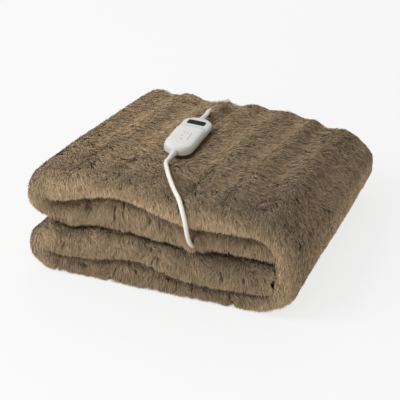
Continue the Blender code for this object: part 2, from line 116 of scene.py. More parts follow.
class Graph:
    """A material's node tree with one Principled shader."""

    def __init__(self, name: str) -> None:
        """Makes the material of that name."""
        self.material = bpy.data.materials.new(name)
        self.material.use_nodes = True
        self.tree = self.material.node_tree
        self.shader = self.tree.nodes["Principled BSDF"]

    def add(self, kind: str, settings: dict | None = None, sockets: dict | None = None) -> bpy.types.Node:
        """Adds a node, sets it, then fills or links its sockets.

        Args:
            kind: The node's type.
            settings: The node's own settings. "stops" sets a ramp's (position, colour) stops.
            sockets: Numbers, colours, values or sockets by input name or index.

        Returns:
            The new node.
        """
        node = self.tree.nodes.new(kind)
        for key, setting in (settings or {}).items():
            if key == "stops":
                self.set_stops(node.color_ramp, setting)
            else:
                setattr(node, key, setting)
        for key, source in (sockets or {}).items():
            self.feed(node.inputs[key], source)
        return node

    def feed(self, target: bpy.types.NodeSocket, source: object) -> None:
        """Links a value or socket to a target, or sets the target to a number or colour.

        Args:
            target: The input.
            source: What goes into it.
        """
        if isinstance(source, Value):
            source = source.socket
        if isinstance(source, bpy.types.NodeSocket):
            self.tree.links.new(source, target)
        else:
            target.default_value = source

    @staticmethod
    def set_stops(ramp: bpy.types.ColorRamp, stops: Stops) -> None:
        """Gives a ramp its (position, colour) stops in order."""
        while len(ramp.elements) < len(stops):
            ramp.elements.new(0.5)
        for element, (position, colour) in zip(ramp.elements, stops):
            element.position = position
            element.color = (*colour, 1.0)

    def ramp(self, factor: object, stops: Stops) -> bpy.types.NodeSocket:
        """The colour of a ramp's (position, colour) stops at a factor."""
        return self.add("ShaderNodeValToRGB", {"stops": stops}, {"Fac": factor}).outputs["Color"]

    def noise(self, scale: float, detail: float = 2.0, stretch: Triple = (1.0, 1.0, 1.0)) -> Value:
        """Smooth noise on Object coordinates, which are metres in the throw's own frame.

        Args:
            scale: Features per metre.
            detail: Octaves.
            stretch: Scale along each axis.

        Returns:
            A value between 0 and 1.
        """
        place = self.add("ShaderNodeTexCoord").outputs["Object"]
        placed = self.add("ShaderNodeMapping", {}, {"Vector": place, "Scale": stretch}).outputs[0]
        node = self.add("ShaderNodeTexNoise", {}, {"Vector": placed, "Scale": scale, "Detail": detail})
        return Value(self, node.outputs[0])

    def raise_bump(self, height: Value, strength: float, distance: float) -> None:
        """Feeds a bump to the shader's normal.

        Args:
            height: The relief, from 0 to 1.
            strength: Share of the bump that shows.
            distance: The relief's real height in metres.
        """
        sockets = {"Height": height, "Strength": strength, "Distance": distance}
        bump = self.add("ShaderNodeBump", {}, sockets)
        self.feed(self.shader.inputs["Normal"], bump.outputs["Normal"])

    def set_shader(self, **sockets: object) -> bpy.types.Material:
        """Fills the shader's sockets, underscores standing for spaces.

        Args:
            sockets: What goes into each socket.

        Returns:
            The finished material.
        """
        for key, source in sockets.items():
            self.feed(self.shader.inputs[key.replace("_", " ")], source)
        return self.material


# ---- Finishes ------------------------------------------------------------------------------------------
@dataclass(frozen=True)
class PileFinish:
    """Hairs dark at their roots and pale at their tips, partly their own colour and partly painted shade low
    in the pile and painted light on the tips, each in one of several shades of random tone with painted light
    and shade.
    """

    name: str = "pile_tufts"
    root: Triple = (0.205, 0.146, 0.088)
    low: Triple = (0.240, 0.170, 0.101)
    high: Triple = (0.350, 0.252, 0.152)
    tip: Triple = (0.500, 0.372, 0.234)
    darkest: Triple = (0.58, 0.58, 0.575)
    palest: Triple = (1.42, 1.40, 1.39)
    roughness: float = 0.85
    sheen: float = 0.06

    def material(self) -> bpy.types.Material:
        """Colour from the hairs' own map: along it the shade strip, which holds random tone with painted
        light and shade, up it root to tip, with painted shade at the root and painted light at the tip.
        """
        graph = Graph(self.name)
        tuft_map = graph.add("ShaderNodeUVMap", {"uv_map": TuftedPile.MAP}).outputs["UV"]
        split = graph.add("ShaderNodeSeparateXYZ", {}, {"Vector": tuft_map})
        # Root to tip: partly the hairs' own colour, partly painted shade at the roots and painted light at
        # the tips.
        stops = [(0.0, self.root), (0.34, self.low), (0.68, self.high), (1.0, self.tip)]
        grown = graph.ramp(split.outputs["Y"], stops)
        # Shade strips: random tone, and the painted light and shade that TuftedPile.shade_of works out.
        half = tuple(0.5 * (a + b) for a, b in zip(self.darkest, self.palest))
        shades = [(0.0, self.darkest), (0.5, half), (1.0, self.palest)]
        strip_tone_light_and_shade = graph.ramp(split.outputs["X"], shades)
        settings = {"data_type": "RGBA", "blend_type": "MULTIPLY"}
        colour = graph.add("ShaderNodeMix", settings, {0: 1.0, 6: grown, 7: strip_tone_light_and_shade}).outputs[2]
        return graph.set_shader(
            Base_Color=colour, Roughness=self.roughness, Sheen_Weight=self.sheen, Sheen_Roughness=0.6,
            Specular_IOR_Level=0.2,
        )


@dataclass(frozen=True)
class KnitFinish:
    """The knitted backing that shows only between the hairs."""

    name: str = "pile_backing"
    dark: Triple = (0.190, 0.136, 0.084)
    pale: Triple = (0.240, 0.172, 0.106)
    loops_per_metre: float = 900.0

    def material(self) -> bpy.types.Material:
        """A dark brown knit with a fine raised grain."""
        graph = Graph(self.name)
        grain = graph.noise(self.loops_per_metre, 3.0)
        colour = graph.ramp(grain, [(0.25, self.dark), (0.75, self.pale)])
        graph.raise_bump(grain, 0.5, 0.0008)
        return graph.set_shader(Base_Color=colour, Roughness=0.92, Specular_IOR_Level=0.15)


@dataclass(frozen=True)
class MouldedFinish:
    """Moulded plastic, rubber or metal: two near shades, uneven gloss and a fine skin."""

    name: str
    colour: Triple
    shade: Triple
    roughness: float
    roughness_swing: float = 0.08
    clouds_per_metre: float = 60.0
    skin_per_metre: float = 2500.0
    skin_height: float = 0.00003
    stretch: Triple = (1.0, 1.0, 1.0)
    metallic: float = 0.0
    specular: float = 0.5

    def material(self) -> bpy.types.Material:
        """Colour and gloss from slow clouds, relief from a fine skin."""
        graph = Graph(self.name)
        clouds = graph.noise(self.clouds_per_metre, 3.0, self.stretch)
        skin = graph.noise(self.skin_per_metre, 2.0, self.stretch)
        colour = graph.ramp(clouds, [(0.3, self.shade), (0.7, self.colour)])
        gloss = self.roughness + (clouds - 0.5) * self.roughness_swing + (skin - 0.5) * self.roughness_swing
        graph.raise_bump(skin, 0.35, self.skin_height)
        return graph.set_shader(
            Base_Color=colour, Roughness=gloss, Metallic=self.metallic, Specular_IOR_Level=self.specular
        )


# HOUSING is the keypad's white plastic painted darker and grey-green as shade on the controller's walls; the
# sleeves, plugs and socket share it.
HOUSING = MouldedFinish("housing_white_painted_shade", (0.580, 0.582, 0.550), (0.555, 0.558, 0.524), 0.42)
KEYPAD = MouldedFinish("keypad_white", (0.640, 0.630, 0.606), (0.616, 0.608, 0.584), 0.50)
WINDOW = MouldedFinish(
    "display_window", (0.018, 0.024, 0.022), (0.010, 0.015, 0.014), 0.45, roughness_swing=0.05, specular=0.02
)
KEY_MARK = MouldedFinish("key_marks", (0.17, 0.18, 0.17), (0.14, 0.15, 0.14), 0.5)
LEAD_SKIN = MouldedFinish("lead_white", (0.760, 0.720, 0.655), (0.730, 0.690, 0.625), 0.42)
BRASS = MouldedFinish(
    "pin_brass", (0.80, 0.66, 0.40), (0.66, 0.53, 0.30), 0.28, stretch=(1.0, 8.0, 8.0), metallic=1.0
)
TIE = MouldedFinish("tie_grey", (0.42, 0.42, 0.40), (0.34, 0.34, 0.33), 0.7)


@dataclass(frozen=True)
class LightTable:
    """The pale, softly lit floor of a product studio."""

    name: str = "studio_floor"
    colour: Triple = (0.16, 0.16, 0.16)
    glow: float = 0.765

    def material(self) -> bpy.types.Material:
        """A matt pale top with its own even glow."""
        graph = Graph(self.name)
        return graph.set_shader(
            Base_Color=(*self.colour, 1.0), Roughness=1.0, Specular_IOR_Level=0.0,
            Emission_Color=(1.0, 1.0, 1.0, 1.0), Emission_Strength=self.glow,
        )


# ---- Surface tools -------------------------------------------------------------------------------------
def smooth_step(value: Array) -> Array:
    """The cubic 3v^2 - 2v^3 of a value clipped to 0..1."""
    value = np.clip(value, 0.0, 1.0)
    return value * value * (3.0 - 2.0 * value)


def unit(vectors: Array) -> Array:
    """Each vector divided by its length."""
    return vectors / np.maximum(np.linalg.norm(vectors, axis=-1, keepdims=True), 1e-12)


def laid(vectors: Array, normals: Array) -> Array:
    """Unit vectors laid into the faces with those normals."""
    return unit(vectors - (vectors * normals).sum(axis=1, keepdims=True) * normals)


def swung(vectors: Array, normals: Array, angle: Array) -> Array:
    """Vectors that lie in their faces, turned about the normals by (n,) radians."""
    return vectors * np.cos(angle)[:, None] + np.cross(normals, vectors) * np.sin(angle)[:, None]


def bell(value: Array, middle: float, width: float) -> Array:
    """The bell curve e^-((value - middle) / width)^2."""
    return np.exp(-(((value - middle) / width) ** 2))


def run_of(points: Array) -> Array:
    """How far along a line of points each of them lies, in metres."""
    return np.concatenate([[0.0], np.cumsum(np.linalg.norm(np.diff(points, axis=0), axis=1))])


def grid_of(x: Array, y: Array, z: Array) -> Array:
    """Places from three coordinates that are spread over one grid."""
    return np.stack(np.broadcast_arrays(x, y, z), axis=-1)


def angles_round(count: int) -> Array:
    """A full turn in equal steps, without its end."""
    return np.linspace(0.0, 2.0 * math.pi, count, endpoint=False)


def near_gaps(points: Array, places: Array, reach: float) -> Iterator[tuple[Array, Array]]:
    """Distances between points and places, for the points in the box of the places widened by a reach.

    Args:
        points: (n, 3) points.
        places: (m, 3) places.
        reach: How much the box is widened each way.

    Yields:
        Some points' numbers and their (k, m) distances, a part at a time to spare memory.
    """
    low, high = places.min(axis=0) - reach, places.max(axis=0) + reach
    near = np.flatnonzero(((points > low) & (points < high)).all(axis=1))
    for part in np.array_split(near, max(1, len(near) // 20_000)):
        yield part, np.linalg.norm(points[part, None] - places[None], axis=2)


def dress(piece: bpy.types.Object, slot: str, *nodes: str) -> None:
    """Fixes a piece to the throw.

    Args:
        piece: The piece.
        slot: Its material slot; not used.
        nodes: The CAD nodes that it replaces, if any.
    """
    if nodes:
        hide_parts(*nodes)
    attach(piece, "root")


def superellipse(angle: Array, power: float) -> tuple[Array, Array]:
    """The rounded square sign(c)|c|^(2/p), sign(s)|s|^(2/p), with c and s the angle's cosine and sine.

    Args:
        angle: Angles in radians.
        power: 2 gives a circle and more gives a squarer shape.

    Returns:
        The two coordinates, from -1 to 1.
    """
    across, up = np.cos(angle), np.sin(angle)
    shape = 2.0 / power
    return np.sign(across) * np.abs(across) ** shape, np.sign(up) * np.abs(up) ** shape


def link_mesh(name: str, points: Array, faces: Array, material: bpy.types.Material) -> bpy.types.Object:
    """An object of equal-sided faces, from whole arrays.

    Args:
        name: The object's name.
        points: (n, 3) places in metres.
        faces: (m, k) corner indices.
        material: The finish.

    Returns:
        The linked object, at the origin.
    """
    mesh = bpy.data.meshes.new(name)
    count, sides = faces.shape
    mesh.vertices.add(len(points))
    mesh.vertices.foreach_set("co", points.astype(np.float32).ravel())
    mesh.loops.add(count * sides)
    mesh.loops.foreach_set("vertex_index", faces.astype(np.int32).ravel())
    mesh.polygons.add(count)
    mesh.polygons.foreach_set("loop_start", np.arange(0, count * sides, sides, dtype=np.int32))
    mesh.update(calc_edges=True)
    mesh.materials.append(material)
    piece = bpy.data.objects.new(name, mesh)
    bpy.context.scene.collection.objects.link(piece)
    return piece


def grid_faces(rows: int, columns: int, closed_rows: bool, closed_columns: bool) -> Array:
    """Quads between neighbours of a grid of points.

    Args:
        rows: Number of rows.
        columns: Number of columns.
        closed_rows: Whether the last row joins the first.
        closed_columns: Whether the last column joins the first.

    Returns:
        (m, 4) corner indices: (i, j), (i, j+1), (i+1, j+1), (i+1, j).
    """
    index = np.arange(rows * columns).reshape(rows, columns)
    below = np.roll(index, -1, axis=0)
    beside = np.roll(index, -1, axis=1)
    across = np.roll(below, -1, axis=1)
    quads = np.stack([index, beside, across, below], axis=-1)
    quads = quads if closed_rows else quads[:-1]
    quads = quads if closed_columns else quads[:, :-1]
    return quads.reshape(-1, 4)


def close_mesh(piece: bpy.types.Object, sharp_degrees: float = 50.0) -> None:
    """Merges doubles at poles and seams, fills what is open, turns faces outwards and shades them smoothly.

    Args:
        piece: The object whose mesh is finished.
        sharp_degrees: Edges over this angle stay sharp.
    """
    shape = bmesh.new()
    shape.from_mesh(piece.data)
    bmesh.ops.remove_doubles(shape, verts=shape.verts, dist=0.000004)
    bmesh.ops.dissolve_degenerate(shape, edges=shape.edges, dist=0.000004)
    bmesh.ops.holes_fill(shape, edges=[edge for edge in shape.edges if edge.is_boundary], sides=0)
    bmesh.ops.recalc_face_normals(shape, faces=shape.faces)
    shape.to_mesh(piece.data)
    shape.free()
    piece.data.shade_smooth()
    piece.data.set_sharp_from_angle(angle=math.radians(sharp_degrees))


def loft(name: str, rings: Array, finish: MouldedFinish, sharp_degrees: float = 50.0) -> bpy.types.Object:
    """A closed shell through rings of points, whose first and last rings shrink to a pole or a spine.

    Args:
        name: The object's name.
        rings: (rows, columns, 3) places.
        finish: What it is made of.
        sharp_degrees: Edges over this angle stay sharp.

    Returns:
        The shell.
    """
    rows, columns = rings.shape[:2]
    faces = grid_faces(rows, columns, closed_rows=False, closed_columns=True)
    piece = link_mesh(name, rings.reshape(-1, 3), faces, finish.material())
    close_mesh(piece, sharp_degrees)
    return piece


class SmoothNoise:
    """A seeded sum of sine waves in random directions, about -1 to 1."""

    def __init__(self, seed: int, wavelength: float, waves: int = 9) -> None:
        """Draws the waves.

        Args:
            seed: Of the random draw.
            wavelength: The middle wavelength in metres.
            waves: How many are summed.
        """
        draw = np.random.default_rng(seed)
        turns = 2.0 * math.pi / (wavelength * draw.uniform(0.7, 1.4, (waves, 1)))
        self.waves = unit(draw.normal(size=(waves, 3))) * turns
        self.phases = draw.uniform(0.0, 2.0 * math.pi, waves)

    def __call__(self, places: Array) -> Array:
        """The sum of sin(wave . place + phase), scaled by the square root of twice their number.

        Args:
            places: (n, 3) points in metres.

        Returns:
            (n,) values.
        """
        total = np.zeros(len(places))
        for wave, phase in zip(self.waves, self.phases):
            total += np.sin(places @ wave + phase)
        return total / math.sqrt(2.0 * len(self.phases))


@dataclass(frozen=True)
class Pose:
    """Where a piece's own frame stands in the throw's frame."""

    at: Triple
    turns: Triple = (0.0, 0.0, 0.0)
    order: str = "XYZ"

    def matrix(self) -> Array:
        """The three columns of the turn."""
        return np.array(Euler(self.turns, self.order).to_matrix())

    def whole(self) -> Matrix:
        """The turn and the place as one 4 by 4 matrix."""
        return Matrix.Translation(self.at) @ Euler(self.turns, self.order).to_matrix().to_4x4()

    def out(self, points: Array) -> Array:
        """Own points to the throw's frame."""
        return points @ self.matrix().T + np.array(self.at)

    def into(self, points: Array) -> Array:
        """Points of the throw's frame to this one."""
        return (points - np.array(self.at)) @ self.matrix()


# ---- Leads ---------------------------------------------------------------------------------------------
@dataclass(frozen=True)
class LeadRoute:
    """The places that a lead goes through."""

    points: Array

    def dense(self, spacing: float = 0.0025) -> Array:
        """Points a spacing apart on the Catmull-Rom curve through the route.

        Args:
            spacing: Metres between points.

        Returns:
            (n, 3) places.
        """
        ends = 2 * self.points[[0, -1]] - self.points[[1, -2]]
        padded = np.concatenate([ends[:1], self.points, ends[1:]])
        a, b, c, d = (padded[k : len(padded) - 3 + k, None] for k in range(4))
        t = np.linspace(0.0, 1.0, 24, endpoint=False)[None, :, None]
        cubic = (2 * a - 5 * b + 4 * c - d) * t**2 + (3 * b - a - 3 * c + d) * t**3
        curve = 0.5 * (2 * b + (c - a) * t + cubic)
        curve = np.concatenate([curve.reshape(-1, 3), self.points[-1:]])
        along = run_of(curve)
        wanted = np.linspace(0.0, along[-1], round(along[-1] / spacing) + 1)
        return np.stack([np.interp(wanted, along, curve[:, k]) for k in range(3)], axis=1)

    def length(self) -> float:
        """The curve's length in metres."""
        return float(run_of(self.dense())[-1])


def draw_lead(name: str, places: Array, diameter: float) -> bpy.types.Object:
    """A round lead as one open spline with a bevel.

    Args:
        name: The object's name.
        places: (n, 3) points of its middle line.
        diameter: In metres.

    Returns:
        The curve.
    """
    curve = bpy.data.curves.new(name, "CURVE")
    curve.dimensions = "3D"
    curve.bevel_depth = diameter / 2
    curve.bevel_resolution = 4
    curve.use_fill_caps = True
    spline = curve.splines.new("POLY")
    spline.points.add(len(places) - 1)
    weighted = np.column_stack([places, np.ones(len(places))])
    spline.points.foreach_set("co", weighted.astype(np.float32).ravel())
    spline.use_smooth = True
    curve.materials.append(LEAD_SKIN.material())
    piece = bpy.data.objects.new(name, curve)
    bpy.context.scene.collection.objects.link(piece)
    return piece


@dataclass
class StrainRelief:
    """A tapered sleeve with moulded rings, along its own Z from root to tip."""

    name: str
    pose: Pose
    length: float
    root: float = 0.0100
    tip: float = 0.0072
    rings: int = 5
    groove: float = 0.0005

    def build(self) -> bpy.types.Object:
        """Radius root + (tip - root) t, less grooves along the rings' squared wave, closed at both ends.

        Returns:
            The sleeve.
        """
        share = np.concatenate([[0.0, 0.0], np.linspace(0.0, 1.0, 61), [1.0]])
        radius = 0.5 * (self.root + (self.tip - self.root) * share)
        wave = 0.5 - 0.5 * np.cos(2.0 * math.pi * self.rings * np.clip((share - 0.2) / 0.7, 0.0, 1.0))
        radius = radius - self.groove * wave**2
        radius[[0, -1]] = 0.0
        radius[[1, -2]] *= 0.94
        around = angles_round(36)
        x, y = radius[:, None] * np.cos(around), radius[:, None] * np.sin(around)
        return loft(self.name, self.pose.out(grid_of(x, y, self.length * share[:, None])), HOUSING)


@dataclass
class RoundedBlock:
    """A block with soft edges and an optional grip, as a superellipse carried along its own X."""

    name: str
    middle: Triple
    size: Triple
    finish: MouldedFinish
    power: float = 5.0
    end_power: float = 5.0
    waist: float = 0.0
    taper: float = 0.0
    ribs: int = 0
    rib_share: float = 0.03

    def build(self) -> bpy.types.Object:
        """Section size follows the end superellipse, less a waist, a taper and a row of shallow ribs.

        Returns:
            The block.
        """
        polar = np.linspace(-math.pi / 2, math.pi / 2, 41)
        reach, along = superellipse(polar, self.end_power)
        around = angles_round(56)
        wide, high = superellipse(around, self.power)
        pinch = 1.0 - self.waist * np.cos(np.clip(along, -1.0, 1.0) * math.pi / 2) ** 2
        pinch = pinch - self.taper * (0.5 - 0.5 * along)
        if self.ribs:
            wave = 0.5 - 0.5 * np.cos(self.ribs * math.pi * along)
            pinch = pinch - self.rib_share * wave * (np.abs(along) < 0.6)
        x = self.size[0] / 2 * along[:, None]
        y = self.size[1] / 2 * (reach * pinch)[:, None] * wide
        z = self.size[2] / 2 * reach[:, None] * high
        return loft(self.name, grid_of(x, y, z) + np.array(self.middle), self.finish)


@dataclass
class BlanketLead:
    """The lead from the controller's front end, over the front edge, to its plug in the fold."""

    diameter: float = 0.006
    route: tuple[Triple, ...] = (
        (-0.0301, -0.0778, 0.1426), (-0.0296, -0.0865, 0.1433), (-0.0285, -0.0945, 0.1443),
        (-0.0256, -0.1028, 0.1458), (-0.0208, -0.1130, 0.1477), (-0.0154, -0.1232, 0.1491),
        (-0.0102, -0.1328, 0.1499), (-0.0046, -0.1425, 0.1499), (0.0020, -0.1525, 0.1487),
        (0.0089, -0.1622, 0.1470), (0.0158, -0.1718, 0.1459), (0.0230, -0.1816, 0.1456),
        (0.0300, -0.1911, 0.1452), (0.0362, -0.1991, 0.1411), (0.0407, -0.2034, 0.1335),
        (0.0434, -0.2043, 0.1242), (0.0447, -0.2036, 0.1148), (0.0452, -0.2016, 0.1054),
        (0.0453, -0.1984, 0.0963), (0.0456, -0.1938, 0.0874), (0.0462, -0.1874, 0.0797),
        (0.0472, -0.1790, 0.0748), (0.0486, -0.1690, 0.0732), (0.0525, -0.1550, 0.0724),
        (0.0610, -0.1370, 0.0719), (0.0740, -0.1170, 0.0711), (0.0885, -0.0985, 0.0701),
        (0.1020, -0.0820, 0.0690), (0.1150, -0.0650, 0.0680), (0.1260, -0.0480, 0.0668),
        (0.1340, -0.0320, 0.0655), (0.1370, -0.0200, 0.0645), (0.1375, -0.0108, 0.0640),
    )

    def build(self) -> Array:
        """Returns:
            Its middle line.
        """
        plug = self.end_piece("lead_plug", 7)
        self.end_piece("blanket_socket", 0)
        route = LeadRoute(np.array(self.route))
        lead = draw_lead("blanket_lead_run", route.dense(), self.diameter)
        dress(lead, "lead_white", "blanket_lead")
        route.length()
        LOG.info("blanket lead: %.3f m", route.length())
        return route.dense()

    @staticmethod
    def end_piece(node: str, ribs: int) -> bpy.types.Object:
        """A block that fills a CAD node's box, made along X and swung to lie along Y.

        Args:
            node: The CAD node's name.
            ribs: How many grip ribs it has.

        Returns:
            The block.
        """
        low, high = (np.array(corner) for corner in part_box(node))
        size = tuple((high - low)[[1, 0, 2]])
        piece = RoundedBlock(node + "_body", (0.0, 0.0, 0.0), size, HOUSING, ribs=ribs).build()
        swing = Matrix.Rotation(math.pi / 2, 4, "Z")
        piece.data.transform(Matrix.Translation(Vector((low + high) / 2)) @ swing)
        dress(piece, "white_plastic", node)
        return piece


@dataclass
class MainsLead:
    """The lead from the controller's rear end, over the back edge, wound behind the throw, to its plug."""

    diameter: float = 0.006
    coil_at: Pair = (0.010, 0.263)
    coil_floor: float = 0.0016
    coil_mean: float = 0.062
    coil_section: float = 0.018
    plug_at: Triple = (0.0131, 0.2188, 0.0072)
    plug_relief: float = 0.030
    plug_size: Triple = (0.034, 0.026, 0.014)
    tie_angle: float = math.radians(150.0)
    tie_width: float = 0.008
    route: tuple[Triple, ...] = (
        (-0.0446, 0.0811, 0.1343), (-0.0454, 0.0897, 0.1338), (-0.0475, 0.0990, 0.1322),
        (-0.0502, 0.1090, 0.1296), (-0.0521, 0.1200, 0.1266), (-0.0527, 0.1340, 0.1238),
        (-0.0525, 0.1500, 0.1208), (-0.0530, 0.1650, 0.1176), (-0.0535, 0.1800, 0.1150),
        (-0.0540, 0.1920, 0.1128), (-0.0545, 0.2012, 0.1084), (-0.0550, 0.2070, 0.1012),
        (-0.0555, 0.2098, 0.0920), (-0.0560, 0.2105, 0.0780), (-0.0563, 0.2108, 0.0600),
        (-0.0560, 0.2112, 0.0430), (-0.0545, 0.2120, 0.0275), (-0.0500, 0.2132, 0.0148),
        (-0.0415, 0.2150, 0.0068), (-0.0300, 0.2172, 0.0036), (-0.0180, 0.2190, 0.0032),
        (-0.0060, 0.2201, 0.0032),
    )

    # Radius and height of the middle line at the end of each quarter turn or longer, from the outer foot of
    # the coil inwards, up, outwards, up and inwards, and out over the first turn to the plug.
    windings: tuple[Triple, ...] = (
        (-0.25, 0.0427, 0.0032), (0.00, 0.0390, 0.0040), (0.25, 0.0372, 0.0046),
        (0.75, 0.0370, 0.0046), (1.00, 0.0325, 0.0046), (1.30, 0.0310, 0.0046),
        (1.75, 0.0310, 0.0046), (2.05, 0.0250, 0.0046), (2.70, 0.0250, 0.0048),
        (3.00, 0.0250, 0.0106), (3.70, 0.0250, 0.0106), (4.00, 0.0310, 0.0106),
        (4.70, 0.0310, 0.0106), (5.00, 0.0370, 0.0106), (5.70, 0.0370, 0.0108),
        (6.00, 0.0368, 0.0166), (6.60, 0.0368, 0.0166), (6.95, 0.0308, 0.0166),
        (7.35, 0.0308, 0.0166), (7.65, 0.0368, 0.0166), (7.85, 0.0428, 0.0150),
        (8.00, 0.0442, 0.0074),
    )

    def coil(self) -> Array:
        """Points at radius r(t) and height z(t) round the coil's middle, t in turns from its -Y side.

        Returns:
            (n, 3) places.
        """
        marks = np.array(self.windings)
        turns = np.arange(marks[0, 0] + 0.27, marks[-1, 0], 0.02)
        share = [smooth_step((turns - a) / (b - a)) for a, b in zip(marks[:-1, 0], marks[1:, 0])]
        radius = marks[0, 1] + sum(s * step for s, step in zip(share, np.diff(marks[:, 1])))
        height = marks[0, 2] + sum(s * step for s, step in zip(share, np.diff(marks[:, 2])))
        angle = 2.0 * math.pi * turns - math.pi / 2
        across = self.coil_at[0] + radius * np.cos(angle)
        along = self.coil_at[1] + radius * np.sin(angle)
        return np.stack([across, along, height], axis=1)

    def places(self) -> Array:
        """The whole middle line, from the controller through the coil to the plug's sleeve."""
        parts = [np.array(self.route), self.coil(), np.array([self.plug_at])]
        return LeadRoute(np.concatenate(parts)).dense()

    def tie(self) -> bpy.types.Object:
        """A strap whose rounded-square loop goes round the coil's section.

        Returns:
            The strap.
        """
        around = angles_round(64)
        wide, high = superellipse(around, 6.0)
        reach = self.coil_section / 2 + 0.0007
        edge = np.array([-1.0, -1.0, -0.92, 0.92, 1.0, 1.0, 0.92, -0.92])
        skin = np.array([0.0001, 0.0007, 0.0009, 0.0009, 0.0007, 0.0001, 0.0, 0.0])
        x = self.coil_mean / 2 + (reach + skin[:, None]) * wide
        z = self.coil_section / 2 + (reach + skin[:, None]) * high
        loop = grid_of(x, self.tie_width / 2 * edge[:, None], z)
        pose = Pose((*self.coil_at, self.coil_floor), (0.0, 0.0, self.tie_angle))
        faces = grid_faces(len(edge), len(around), closed_rows=True, closed_columns=True)
        strap = link_mesh("coil_tie_strap", pose.out(loop).reshape(-1, 3), faces, TIE.material())
        close_mesh(strap)
        dress(strap, "keypad", "coil_tie")
        return strap

    def plug(self) -> list[bpy.types.Object]:
        """The sleeve and body of the plug.

        Returns:
            The two pieces.
        """
        x, y, z = self.plug_at
        pose = Pose((x + self.plug_relief, y, z), (0.0, -math.pi / 2, 0.0))
        sleeve = StrainRelief("mains_plug_sleeve", pose, self.plug_relief).build()
        middle = (x + self.plug_relief + 0.0003 + self.plug_size[0] / 2, y, z)
        shape = {"waist": 0.10, "taper": 0.16, "ribs": 7}
        body = RoundedBlock("mains_plug_body", middle, self.plug_size, HOUSING, **shape).build()
        dress(sleeve, "white_plastic", "mains_plug_relief")
        dress(body, "white_plastic", "mains_plug")
        return [sleeve, body]

    def build(self, frame: dict) -> Array:
        """Args:
            frame: The loaded model, whose pins keep their shape.

        Returns:
            The middle line up to the coil.
        """
        places = self.places()
        lead = draw_lead("mains_lead_run", places, self.diameter)
        dress(lead, "lead_white", "mains_lead", "mains_coil")
        strap = self.tie()
        plug = self.plug()
        pins = [frame["nodes"][name] for name in ("plug_pin_front", "plug_pin_rear")]
        for pin in pins:
            pin.material_slots[0].material = BRASS.material()
        return LeadRoute(np.array(self.route)).dense()


